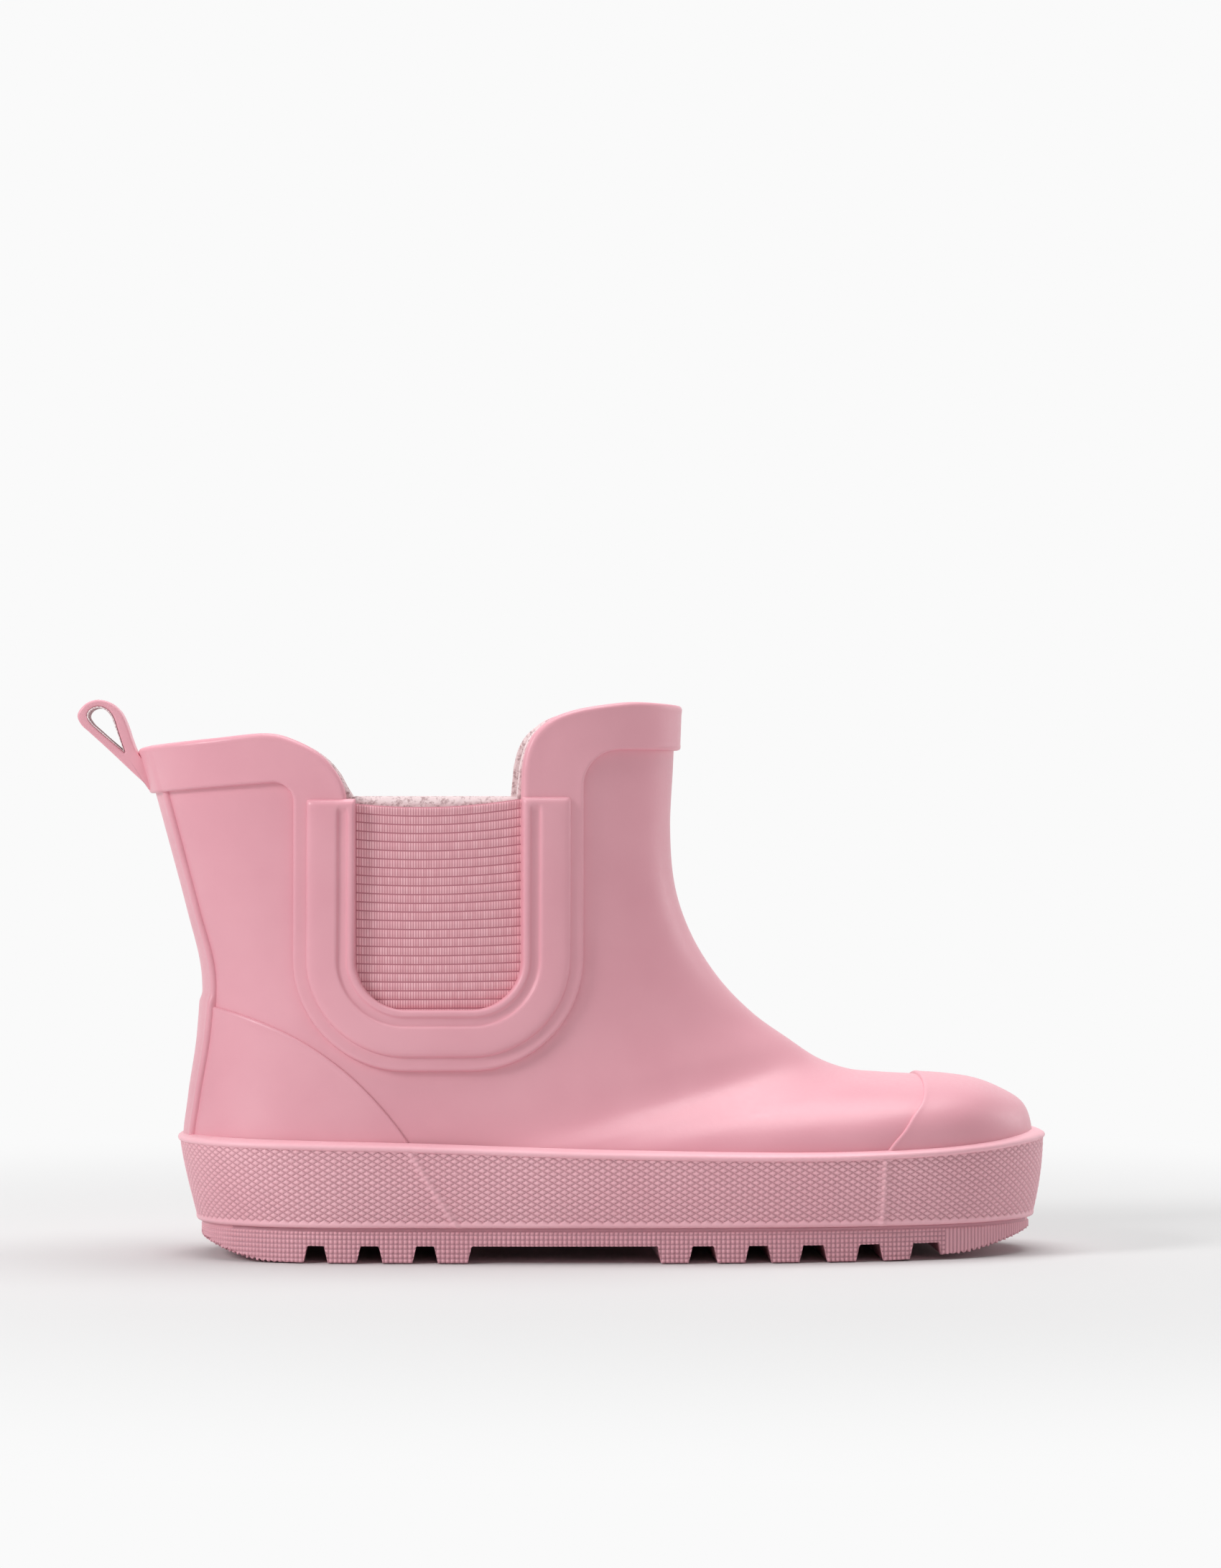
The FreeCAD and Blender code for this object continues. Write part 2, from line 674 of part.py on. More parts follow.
def loop_anchor():
    """Rubber pad on the back of the collar that holds the loop's root."""
    low = trim_outside + bond_gap
    width = loop_width + 1.0
    region = Part.makeBox(gx(60.0), width, anchor_below + anchor_above,
                          V(gx(-120.0), -width / 2, root_z - anchor_below))
    pad = layer(low, low + anchor_thickness, region)
    seat = Part.makeCylinder(root_radius + hinge_clearance, 2 * WIDE,
                             V(root_x, -WIDE, root_z), V(0, 1, 0))
    return pad.cut(seat)


# ------------------------------------------------------------------ writing the pieces
PIECES = {
    "outsole": outsole,
    "midsole_filler": midsole_filler,
    "foxing": foxing,
    "foxing_bead": foxing_bead,
    "insole_board": insole_board,
    "lining_sole": lining_sole,
    "footbed_foam": footbed_foam,
    "footbed_cover": footbed_cover,
    "upper_shell": upper_shell,
    "topline_trim": topline_trim,
    "gore_frame_outer": lambda: gore_frame(-1),
    "gore_frame_inner": lambda: gore_frame(1),
    "gore_elastic_outer": lambda: gore_elastic(-1),
    "gore_elastic_inner": lambda: gore_elastic(1),
    "lining_outer": lambda: lining(-1),
    "lining_inner": lambda: lining(1),
    "heel_stiffener": heel_stiffener,
    "heel_counter": heel_counter,
    "toe_cap": toe_cap,
    "back_stay": back_stay,
    "pull_loop": pull_loop,
    "pull_loop_tape": pull_loop_tape,
    "loop_anchor": loop_anchor,
}


def main():
    """Makes every piece and writes it to its own file."""
    os.makedirs("parts", exist_ok=True)
    for name, make in PIECES.items():
        shape = make()
        solids = shape.Solids
        piece = solids[0] if len(solids) == 1 else Part.makeCompound(solids)
        piece.translate(-plan_middle)
        box = piece.BoundBox
        print(f"{name:20s} solids {len(solids)} valid {piece.isValid()} "
              f"volume {piece.Volume:9.1f}  x {box.XMin:7.1f} {box.XMax:7.1f}  "
              f"y {box.YMin:6.1f} {box.YMax:6.1f}  z {box.ZMin:6.1f} {box.ZMax:6.1f}",
              flush=True)
        piece.exportStep(f"parts/{name}.step")


main()
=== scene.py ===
"""Looks of a child's ankle-high rubber rain boot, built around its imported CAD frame.

Every piece that shows is laid on the same last as the CAD pieces: a surface through sections
that run from above the collar, down the leg and forward to the toe.  Lengths are millimetres on
the last and metres on the finished meshes.
"""
import logging
import math
from dataclasses import dataclass
from enum import Enum
from typing import Callable, Sequence

import bmesh
import bpy
import numpy as np
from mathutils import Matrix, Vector


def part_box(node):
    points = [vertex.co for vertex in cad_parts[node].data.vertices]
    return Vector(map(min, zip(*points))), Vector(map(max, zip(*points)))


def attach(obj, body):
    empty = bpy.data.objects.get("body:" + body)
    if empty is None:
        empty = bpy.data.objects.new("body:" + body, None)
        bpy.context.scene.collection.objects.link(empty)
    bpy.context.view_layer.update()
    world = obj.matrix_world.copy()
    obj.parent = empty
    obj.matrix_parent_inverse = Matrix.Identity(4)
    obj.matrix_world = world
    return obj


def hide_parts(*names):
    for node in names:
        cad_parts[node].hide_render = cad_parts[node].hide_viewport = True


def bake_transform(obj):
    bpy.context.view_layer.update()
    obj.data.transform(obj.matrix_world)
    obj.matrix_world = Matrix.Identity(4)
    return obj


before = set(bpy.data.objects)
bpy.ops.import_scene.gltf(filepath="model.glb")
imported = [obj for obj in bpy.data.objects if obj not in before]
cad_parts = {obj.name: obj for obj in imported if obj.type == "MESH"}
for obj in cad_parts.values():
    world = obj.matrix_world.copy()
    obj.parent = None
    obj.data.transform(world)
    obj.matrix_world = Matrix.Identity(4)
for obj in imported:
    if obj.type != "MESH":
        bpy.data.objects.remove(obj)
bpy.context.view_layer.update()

MM = 0.001
LOG = logging.getLogger("rain_boot")

Array = np.ndarray


# ------------------------------------------------------------------ the last
@dataclass(frozen=True)
class Last:
    """The boot's last: the outside of the rubber upper as a surface.

    A place on it is (t, angle): t runs from 0 above the collar to 17 at the toe, angle from 0
    at the heel seam over the outer side to pi at the front and on over the inner side.
    """

    middle: tuple[float, float] = (0.4, 1.93)
    sections: tuple[tuple[float, ...], ...] = (
        (-95.0, 120.0, 25.9, 128.0, 28.6, 0.47, 2.5, 2.4, 0.0),
        (-90.6, 104.5, 25.2, 110.0, 28.6, 0.47, 2.5, 2.4, 0.0),
        (-86.9, 91.0, 24.5, 95.0, 28.4, 0.47, 2.5, 2.4, 0.0),
        (-83.2, 77.0, 25.6, 82.0, 28.0, 0.46, 2.5, 2.4, 0.0),
        (-80.0, 63.0, 29.4, 71.0, 27.8, 0.44, 2.4, 2.3, 0.0),
        (-80.4, 49.0, 35.6, 61.2, 28.2, 0.40, 2.4, 2.2, 0.0),
        (-82.4, 35.0, 43.2, 53.4, 29.2, 0.36, 2.4, 2.1, 0.2),
        (-83.2, 23.0, 51.0, 47.8, 30.4, 0.33, 2.5, 2.1, 0.5),
        (-78.0, 12.0, 58.0, 43.2, 32.0, 0.33, 3.2, 2.1, 0.9),
        (-52.0, 11.0, 65.0, 40.7, 34.0, 0.36, 3.4, 2.2, 1.3),
        (-20.0, 11.0, 72.0, 39.9, 35.6, 0.38, 3.4, 2.3, 1.7),
        (14.0, 11.0, 79.5, 39.4, 36.0, 0.38, 3.2, 2.4, 2.0),
        (44.0, 11.0, 87.0, 38.9, 34.8, 0.38, 3.0, 2.5, 2.4),
        (68.0, 11.0, 94.0, 37.8, 31.2, 0.40, 2.8, 2.5, 2.9),
        (85.0, 11.0, 99.6, 35.6, 25.4, 0.42, 2.6, 2.4, 3.4),
        (95.5, 11.6, 103.9, 32.8, 18.2, 0.44, 2.4, 2.3, 3.8),
        (101.5, 13.4, 105.7, 28.6, 11.6, 0.46, 2.3, 2.2, 4.0),
        (104.4, 16.0, 105.8, 23.6, 6.2, 0.50, 2.2, 2.2, 4.1),
    )

    @property
    def end(self) -> float:
        """Place t of the last section, at the toe."""
        return float(len(self.sections) - 1)

    def values(self, t: Array) -> Array:
        """Section values at t.

        Args:
            t: Places along the last.

        Returns:
            Array of the nine section values, in front of the shape of t.
        """
        table = np.array(self.sections)
        top = len(table) - 1
        t = np.clip(t, 0.0, top)
        i = np.minimum(t.astype(int), top - 1)
        a, b, c, d = (table[np.clip(i + k, 0, top)] for k in (-1, 0, 1, 2))
        f = (t - i)[..., None]
        smooth = 0.5 * (2 * b + (c - a) * f + (2 * a - 5 * b + 4 * c - d) * f ** 2
                        + (3 * b - a - 3 * c + d) * f ** 3)
        return np.moveaxis(smooth, -1, 0)

    def base(self, t: Array, angle: Array) -> Array:
        """Points on the last itself.

        Args:
            t: Places along the last.
            angle: Places around it, of the same shape.

        Returns:
            Array of points, shape of t plus three.
        """
        bx, bz, fx, fz, half, widest, back_power, front_power, shift = self.values(t)
        c, s = np.cos(angle), np.sin(angle)
        power = np.where(c > 0, back_power, front_power)
        along = np.abs(c) ** (2 / power)
        across = np.abs(s) ** (2 / power)
        share = np.where(c > 0, widest * (1 - along), widest + (1 - widest) * along)
        y = shift - np.sign(s) * half * across
        return np.stack([bx + share * (fx - bx), y, bz + share * (fz - bz)], axis=-1)

    def normal(self, t: Array, angle: Array) -> Array:
        """Outward unit normals at places on the last."""
        dt, da = 0.02, 0.012
        along = self.base(np.minimum(t + dt, self.end), angle) - self.base(t - dt, angle)
        around = self.base(t, angle + da) - self.base(t, angle - da)
        out = np.cross(along, around)
        return out / np.maximum(np.linalg.norm(out, axis=-1, keepdims=True), 1e-9)

    def point(self, t: Array, angle: Array, offset: Array | float = 0.0) -> Array:
        """Points moved out of the last by an offset along its normals."""
        t, angle = np.broadcast_arrays(np.asarray(t, float), np.asarray(angle, float))
        lift = np.broadcast_to(np.asarray(offset, float), t.shape)[..., None]
        return self.base(t, angle) + lift * self.normal(t, angle)

    def locate(self, x: Array, z: Array) -> tuple[Array, Array]:
        """Place on the outer side that is seen at x, z from the side.

        Args:
            x: Length-wise places.
            z: Heights.

        Returns:
            The places t and angle, angle between 0 and pi.
        """
        x, z = np.broadcast_arrays(np.asarray(x, float), np.asarray(z, float))
        low, high = np.zeros(x.shape), np.full(x.shape, self.end)
        for _ in range(40):
            mid = (low + high) / 2
            bx, bz, fx, fz = self.values(mid)[:4]
            below = (fx - bx) * (z - bz) - (fz - bz) * (x - bx) < 0
            low, high = np.where(below, mid, low), np.where(below, high, mid)
        t = (low + high) / 2
        bx, bz, fx, fz, _, widest, back_power, front_power, _ = self.values(t)
        run2 = (fx - bx) ** 2 + (fz - bz) ** 2
        share = np.clip(((x - bx) * (fx - bx) + (z - bz) * (fz - bz)) / run2, 0.0, 1.0)
        back = np.clip(1 - share / widest, 0.0, 1.0) ** (back_power / 2)
        front = np.clip((share - widest) / (1 - widest), 0.0, 1.0) ** (front_power / 2)
        return t, np.where(share < widest, np.arccos(back), np.arccos(-front))

    def seam_x(self, z: float, front: bool = False) -> float:
        """Length-wise place of the heel seam, or of the front, at a height."""
        t = np.linspace(0.0, 8.0, 801)
        rows = self.values(t)
        xs, zs = (rows[2], rows[3]) if front else (rows[0], rows[1])
        return float(np.interp(-z, -zs, xs))


LAST = Last()


def smooth_path(points: Sequence[tuple[float, float]], count: int = 400) -> Array:
    """Smooth curve through side points.

    Args:
        points: Points as (x, z).
        count: How many points the curve gets, evenly spaced.

    Returns:
        Array of shape (count, 2).
    """
    p = np.array(points, float)
    p = np.vstack([2 * p[0] - p[1], p, 2 * p[-1] - p[-2]])
    rows = []
    for a, b, c, d in zip(p, p[1:], p[2:], p[3:]):
        knots = np.cumsum([0.0] + [np.linalg.norm(q) ** 0.5 for q in (b - a, c - b, d - c)])
        u = np.linspace(knots[1], knots[2], 60, endpoint=False)[:, None]
        k0, k1, k2, k3 = knots
        a1 = (k1 - u) / (k1 - k0) * a + (u - k0) / (k1 - k0) * b
        a2 = (k2 - u) / (k2 - k1) * b + (u - k1) / (k2 - k1) * c
        a3 = (k3 - u) / (k3 - k2) * c + (u - k2) / (k3 - k2) * d
        b1 = (k2 - u) / (k2 - k0) * a1 + (u - k0) / (k2 - k0) * a2
        b2 = (k3 - u) / (k3 - k1) * a2 + (u - k1) / (k3 - k1) * a3
        rows.append((k2 - u) / (k2 - k1) * b1 + (u - k1) / (k2 - k1) * b2)
    rows.append(p[-2][None])
    return even(np.vstack(rows), count)


def even(path: Array, count: int) -> Array:
    """Same path with evenly spaced points."""
    length = np.concatenate([[0.0], np.cumsum(np.linalg.norm(np.diff(path, axis=0), axis=1))])
    wanted = np.linspace(0.0, length[-1], count)
    return np.stack([np.interp(wanted, length, path[:, k]) for k in range(path.shape[1])],
                    axis=-1)


def straight(a: tuple[float, float], b: tuple[float, float], count: int) -> Array:
    """Evenly spaced points from a to b."""
    return np.linspace(a, b, count)


def arc(centre: tuple[float, float], radius: float, start: float, stop: float,
        count: int) -> Array:
    """Points on an arc, angles in degrees from the x axis towards z."""
    angle = np.radians(np.linspace(start, stop, count))
    return np.stack([centre[0] + radius * np.cos(angle),
                     centre[1] + radius * np.sin(angle)], axis=-1)


def ease(x: Array | float) -> Array:
    """Smooth step from 0 to 1."""
    x = np.clip(x, 0.0, 1.0)
    return x * x * (3 - 2 * x)


# ------------------------------------------------------------------ outlines from the side
@dataclass(frozen=True)
class Outlines:
    """Outlines of the layers on the last, seen from the side, x and z in millimetres."""

    gore_back: float = -46.1
    gore_front: float = -9.7
    gore_top: float = 100.7
    gore_bottom: float = 55.4
    gore_radius: float = 11.0
    frame_width: float = 10.6
    surround: float = 3.0
    step_rear_low: float = 103.2
    step_rear_high: float = 105.3
    step_front: float = 112.5
    step_rear_radius: float = 4.3
    step_front_radius: float = 8.0

    @property
    def rear_top(self) -> Array:
        """Collar line from behind the heel seam to the gore's notch."""
        b = self.gore_back
        return smooth_path([(-101.0, 112.3), (-92.5, 113.4), (-78.1, 115.0), (-64.9, 116.1),
                            (b - 14.2, 115.0), (b - 8.0, 111.8), (b - 4.6, 108.2),
                            (b - 2.7, 104.8), (b - 1.7, self.gore_top)])

    @property
    def front_top(self) -> Array:
        """Collar line from the gore's notch to past the front."""
        f = self.gore_front
        return smooth_path([(f, self.gore_top), (f + 0.1, 106.0), (f + 0.3, 109.2),
                            (f + 1.3, 113.2), (f + 3.0, 116.3), (f + 6.6, 119.3),
                            (f + 11.8, 121.3), (11.6, 122.9), (15.8, 123.2),
                            (25.9, 122.6), (34.0, 121.6)])

    def top_level(self, x: Array, notch: float | None = None) -> Array:
        """Height of the collar line at x, with the notch at its own level if given."""
        path = np.vstack([self.rear_top, self.front_top])
        level = np.interp(x, path[:, 0], path[:, 1])
        return level if notch is None else np.maximum(level, notch)

    def u_path(self, grow: float, front_top: float, back_top: float,
               limb: Sequence[float] = tuple(np.linspace(0.0, 1.0, 30)),
               corner: int = 22, bottom: int = 14) -> Array:
        """Edge of the gore's window grown outwards, from the front limb's top round below.

        Args:
            grow: How far outside the window.
            front_top: Where the front limb starts.
            back_top: Where the back limb ends.
            limb: Shares of a limb's length, from its top, at which it has points.
            corner: Points of a corner.
            bottom: Points of the straight bottom.

        Returns:
            Array of side points.
        """
        r, level = self.gore_radius, self.gore_bottom + self.gore_radius
        share = np.array(limb)[:, None]
        front, back = self.gore_front + grow, self.gore_back - grow
        down = np.hstack([front + 0 * share, front_top + share * (level - front_top)])
        up = np.hstack([back + 0 * share, back_top + share * (level - back_top)])[::-1]
        low = self.gore_bottom - grow
        return np.vstack([
            down[:-1],
            arc((self.gore_front - r, level), r + grow, 0.0, -90.0, corner)[:-1],
            straight((self.gore_front - r, low), (self.gore_back + r, low), bottom)[:-1],
            arc((self.gore_back + r, level), r + grow, -90.0, -180.0, corner)[:-1],
            up])

    def inside_window(self, x: Array, z: Array, grow: float) -> Array:
        """Whether side points lie in the gore's window grown outwards."""
        r, level = self.gore_radius, self.gore_bottom + self.gore_radius
        back, front = self.gore_back + r, self.gore_front - r
        away = np.hypot(x - np.clip(x, back, front), np.minimum(z - level, 0.0))
        return away < r + grow


SIDE = Outlines()


# ------------------------------------------------------------------ mesh making
def on_side(x: Array, z: Array, offset: Array | float, inner: bool = False) -> Array:
    """Points of the last's outer or inner side that are seen at x, z."""
    t, angle = LAST.locate(x, z)
    return LAST.point(t, 2 * math.pi - angle if inner else angle, offset)


def across(a: Array, b: Array, profile: Sequence[tuple[float, float, float]]
           ) -> tuple[Array, Array, Array]:
    """Lays a cross profile between two matched edges seen from the side.

    Args:
        a: First edge, shape (rows, 2).
        b: Second edge, same shape.
        profile: Columns, each (share of the way from a to b, millimetres added, offset).

    Returns:
        x, z and offset, each of shape (rows, columns).
    """
    share, extra, offset = np.array(profile).T
    span = b - a
    width = np.maximum(np.linalg.norm(span, axis=1), 1e-6)[:, None]
    run = share[None] + extra[None] / width
    place = a[:, None] + run[..., None] * span[:, None]
    return place[..., 0], place[..., 1], np.broadcast_to(offset, run.shape)


def lay_grid(name: str, points: Array, closed: bool = False, uv: Array | None = None,
             drop: Array | None = None, groove_shade: Array | None = None) -> bpy.types.Object:
    """Piece whose quads follow a grid of points.

    Args:
        name: Name of the piece.
        points: Grid of points on the last's frame, shape (rows, columns, 3), millimetres.
        closed: Whether the grid meets itself and makes a closed skin.
        uv: Place of each point on the piece's own pattern in millimetres, (rows, columns, 2).
        drop: Quads to leave out, shape (rows - 1, columns - 1).
        groove_shade: How deep in a groove each point lies, 0 to 1, for the finish.

    Returns:
        The piece, with its normals outwards and smooth shading.
    """
    rows, columns = points.shape[:2]
    bm = bmesh.new()
    groove = bm.verts.layers.float.new("groove")
    bmesh.ops.create_grid(bm, x_segments=rows - 1, y_segments=columns - 1, size=1.0)
    cell = {v: (round((v.co.x + 1) / 2 * (rows - 1)), round((v.co.y + 1) / 2 * (columns - 1)))
            for v in bm.verts}
    if uv is not None:
        layer = bm.loops.layers.uv.new("UVMap")
        for face in bm.faces:
            for loop in face.loops:
                loop[layer].uv = uv[cell[loop.vert]] * MM
    # The groove layer carries the mask for the painted shade that the finish puts in grooves.
    if groove_shade is not None:
        for v in bm.verts:
            v[groove] = groove_shade[cell[v]]
    if drop is not None:
        gone = [f for f in bm.faces
                if drop[min(cell[v][0] for v in f.verts), min(cell[v][1] for v in f.verts)]]
        bmesh.ops.delete(bm, geom=gone, context="FACES")
    place = (points - np.array([*LAST.middle, 0.0])) * MM
    for v in bm.verts:
        v.co = place[cell[v]]
    bmesh.ops.remove_doubles(bm, verts=bm.verts, dist=1e-6)
    if closed:
        bmesh.ops.recalc_face_normals(bm, faces=bm.faces)
    else:
        bm.normal_update()
        facing = sum(f.normal.y * f.calc_area() * f.calc_center_median().y for f in bm.faces)
        if facing < 0:
            bmesh.ops.reverse_faces(bm, faces=bm.faces)
    return finish_mesh(name, bm)


def finish_mesh(name: str, bm: bmesh.types.BMesh) -> bpy.types.Object:
    """Object of a finished bmesh, smooth shaded, with the bmesh freed."""
    mesh = bpy.data.meshes.new(name)
    bm.to_mesh(mesh)
    bm.free()
    mesh.shade_smooth()
    piece = bpy.data.objects.new(name, mesh)
    bpy.context.scene.collection.objects.link(piece)
    return piece


def thicken(piece: bpy.types.Object, wall: float) -> None:
    """Gives an open piece its wall, inwards from its outside."""
    solid = piece.modifiers.new("wall", "SOLIDIFY")
    solid.thickness = wall * MM
    solid.offset = -1.0


def fit_out(piece: bpy.types.Object, body: str, slot: str, finish: bpy.types.Material,
            *nodes: str) -> bpy.types.Object:
    """Dresses a piece and ties it to the frame.

    Args:
        piece: The piece.
        body: CAD body that it rides on.
        slot: Material slot of the record; not used.
        finish: Its material.
        nodes: CAD nodes that it stands for.

    Returns:
        The piece.
    """
    piece.data.materials.clear()
    piece.data.materials.append(finish)
    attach(piece, body)
    if nodes:
        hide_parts(*nodes)
    triangles = sum(len(p.vertices) - 2 for p in piece.data.polygons)
    LOG.info("%s: %d triangles on %s", piece.name, triangles, body)
    return piece


# ------------------------------------------------------------------ finishes
def linear(hex_colour: str) -> tuple[float, float, float, float]:
    """Linear colour of an sRGB hex value."""
    parts = [int(hex_colour[k:k + 2], 16) / 255 for k in (0, 2, 4)]
    r, g, b = (c / 12.92 if c <= 0.04045 else ((c + 0.055) / 1.055) ** 2.4 for c in parts)
    return r, g, b, 1.0


def add_node(tree: bpy.types.NodeTree, kind: str, settings: dict | None = None,
             links: dict | None = None) -> bpy.types.Node:
    """Adds a node.

    Args:
        tree: Node tree of the material.
        kind: Blender's name of the node type.
        settings: Values by attribute name, or by input name or number.
        links: Sockets to link from, by input name or number.

    Returns:
        The node.
    """
    node = tree.nodes.new(kind)
    for key, value in (settings or {}).items():
        if isinstance(key, str) and hasattr(node, key):
            setattr(node, key, value)
        else:
            node.inputs[key].default_value = value
    for key, socket in (links or {}).items():
        tree.links.new(socket, node.inputs[key])
    return node


def new_material(name: str) -> tuple[bpy.types.Material, bpy.types.NodeTree,
                                     bpy.types.Node]:
    """Material with its tree and its shader."""
    material = bpy.data.materials.new(name)
    material.use_nodes = True
    tree = material.node_tree
    return material, tree, tree.nodes["Principled BSDF"]


@dataclass(frozen=True)
class PressedRubber:
    """Natural rubber laid up in sheets and cured in a press: satin, faintly uneven."""

    name: str
    main: str                   # sRGB of most of the surface
    deep: str                   # sRGB of its darker clouds
    roughness: float = 0.40
    cloud: float = 38.0         # size of the clouds, mm
    skin: float = 0.9           # size of the faint unevenness of the skin, mm
    skin_height: float = 0.018  # its height, mm
    groove: str = ""            # sRGB of painted shade at the bottom of pressed grooves, on patterned pieces

    def make(self) -> bpy.types.Material:
        """Material of the rubber."""
        material, tree, shader = new_material(self.name)
        place = add_node(tree, "ShaderNodeTexCoord").outputs["Object"]
        clouds = add_node(tree, "ShaderNodeTexNoise",
                          {"Scale": 1000 / self.cloud, "Detail": 3.0, "Roughness": 0.55},
                          {"Vector": place}).outputs["Fac"]
        spread = add_node(tree, "ShaderNodeMapRange",
                          {"From Min": 0.35, "From Max": 0.68}, {"Value": clouds})
        tint = add_node(tree, "ShaderNodeMix",
                        {"data_type": "RGBA", 6: linear(self.main), 7: linear(self.deep)},
                        {0: spread.outputs[0]})
        colour = tint.outputs[2]
        # The groove attribute pulls the colour towards the groove colour: painted shade in pressed
        # grooves.
        if self.groove:
            groove_shade = add_node(tree, "ShaderNodeAttribute", {"attribute_name": "groove"})
            colour = add_node(tree, "ShaderNodeMix",
                              {"data_type": "RGBA", 7: linear(self.groove)},
                              {0: groove_shade.outputs["Fac"], 6: colour}).outputs[2]
        tree.links.new(colour, shader.inputs["Base Color"])
        skin = add_node(tree, "ShaderNodeTexNoise",
                        {"Scale": 1000 / self.skin, "Detail": 2.0}, {"Vector": place})
        bump = add_node(tree, "ShaderNodeBump",
                        {"Strength": 1.0, "Distance": self.skin_height * MM},
                        {"Height": skin.outputs["Fac"]})
        sheen = add_node(tree, "ShaderNodeMapRange",
                         {"From Min": 0.3, "From Max": 0.7, "To Min": self.roughness - 0.05,
                          "To Max": self.roughness + 0.07},
                         {"Value": skin.outputs["Fac"]})
        tree.links.new(sheen.outputs[0], shader.inputs["Roughness"])
        tree.links.new(bump.outputs["Normal"], shader.inputs["Normal"])
        shader.inputs["IOR"].default_value = 1.52
        return material


@dataclass(frozen=True)
class Webbing:
    """Woven elastic webbing: soft ribs across it, each a row of short bright threads."""

    name: str = "woven_elastic_webbing"
    thread: str = "f0bcc4"
    ground: str = "cc8793"
    between: str = "b9727f"
    row: float = 1.95           # rib pitch, mm
    pitch: float = 0.57         # thread pitch along a rib, mm

    def make(self) -> bpy.types.Material:
        """Material of the webbing, on its own UV map."""
        material, tree, shader = new_material(self.name)
        uv = add_node(tree, "ShaderNodeUVMap", {"uv_map": "UVMap"}).outputs["UV"]
        weave = add_node(tree, "ShaderNodeTexBrick",
                         {"offset": 0.0, "Scale": 1000.0, "Brick Width": self.pitch,
                          "Row Height": self.row, "Mortar Size": 0.15,
                          "Mortar Smooth": 0.5, "Color1": linear(self.thread),
                          "Color2": linear("e3a8b1"), "Mortar": linear(self.ground)},
                         {"Vector": uv})
        line = add_node(tree, "ShaderNodeTexBrick",
                        {"offset": 0.0, "Scale": 1000.0, "Brick Width": 1000.0,
                         "Row Height": self.row, "Mortar Size": 0.2,
                         "Mortar Smooth": 0.6}, {"Vector": uv})
        tint = add_node(tree, "ShaderNodeMix",
                        {"data_type": "RGBA", 7: linear(self.between)},
                        {0: line.outputs["Fac"], 6: weave.outputs["Color"]})
        fuzz = add_node(tree, "ShaderNodeTexNoise", {"Scale": 5200.0, "Detail": 2.0},
                        {"Vector": uv})
        bump = add_node(tree, "ShaderNodeBump", {"Strength": 0.7, "Distance": 0.08 * MM},
                        {"Height": fuzz.outputs["Fac"]})
        tree.links.new(tint.outputs[2], shader.inputs["Base Color"])
        tree.links.new(bump.outputs["Normal"], shader.inputs["Normal"])
        shader.inputs["Roughness"].default_value = 0.82
        shader.inputs["Sheen Weight"].default_value = 0.25
        shader.inputs["Sheen Roughness"].default_value = 0.5
        return material


@dataclass(frozen=True)
class BrushedKnit:
    """Cotton jersey brushed on its face: a soft nap, mottled, with darker flecks."""

    name: str
    main: str
    fleck: str
    loop: float = 0.9           # knit loops, mm; coarser than real ones, so that they show

    def make(self) -> bpy.types.Material:
        """Material of the knit."""
        material, tree, shader = new_material(self.name)
        place = add_node(tree, "ShaderNodeTexCoord").outputs["Object"]
        mottle = add_node(tree, "ShaderNodeTexNoise",
                          {"Scale": 1100.0, "Detail": 2.0, "Roughness": 0.6},
                          {"Vector": place})
        ramp = add_node(tree, "ShaderNodeMapRange", {"From Min": 0.5, "From Max": 0.66},
                        {"Value": mottle.outputs["Fac"]})
        tint = add_node(tree, "ShaderNodeMix",
                        {"data_type": "RGBA", 6: linear(self.main), 7: linear(self.fleck)},
                        {0: ramp.outputs[0]})
        loops = add_node(tree, "ShaderNodeTexVoronoi", {"Scale": 1000 / self.loop},
                         {"Vector": place})
        bump = add_node(tree, "ShaderNodeBump", {"Strength": 0.8, "Distance": 0.15 * MM},
                        {"Height": loops.outputs["Distance"]})
        tree.links.new(tint.outputs[2], shader.inputs["Base Color"])
        tree.links.new(bump.outputs["Normal"], shader.inputs["Normal"])
        shader.inputs["Roughness"].default_value = 0.9
        shader.inputs["Sheen Weight"].default_value = 0.4
        return material


@dataclass(frozen=True)
class Granular:
    """Plain dense material with a fine grain: board, foam, sponge, stiffener."""

    name: str
    main: str
    deep: str
    grain: float                # mm
    height: float               # mm
    roughness: float = 0.85

    def make(self) -> bpy.types.Material:
        """Material with its grain."""
        material, tree, shader = new_material(self.name)
        place = add_node(tree, "ShaderNodeTexCoord").outputs["Object"]
        cells = add_node(tree, "ShaderNodeTexVoronoi", {"Scale": 1000 / self.grain},
                         {"Vector": place})
        tint = add_node(tree, "ShaderNodeMix",
                        {"data_type": "RGBA", 6: linear(self.deep), 7: linear(self.main)},
                        {0: cells.outputs["Distance"]})
        bump = add_node(tree, "ShaderNodeBump",
                        {"Strength": 1.0, "Distance": self.height * MM},
                        {"Height": cells.outputs["Distance"]})
        tree.links.new(tint.outputs[2], shader.inputs["Base Color"])
        tree.links.new(bump.outputs["Normal"], shader.inputs["Normal"])
        shader.inputs["Roughness"].default_value = self.roughness
        return material


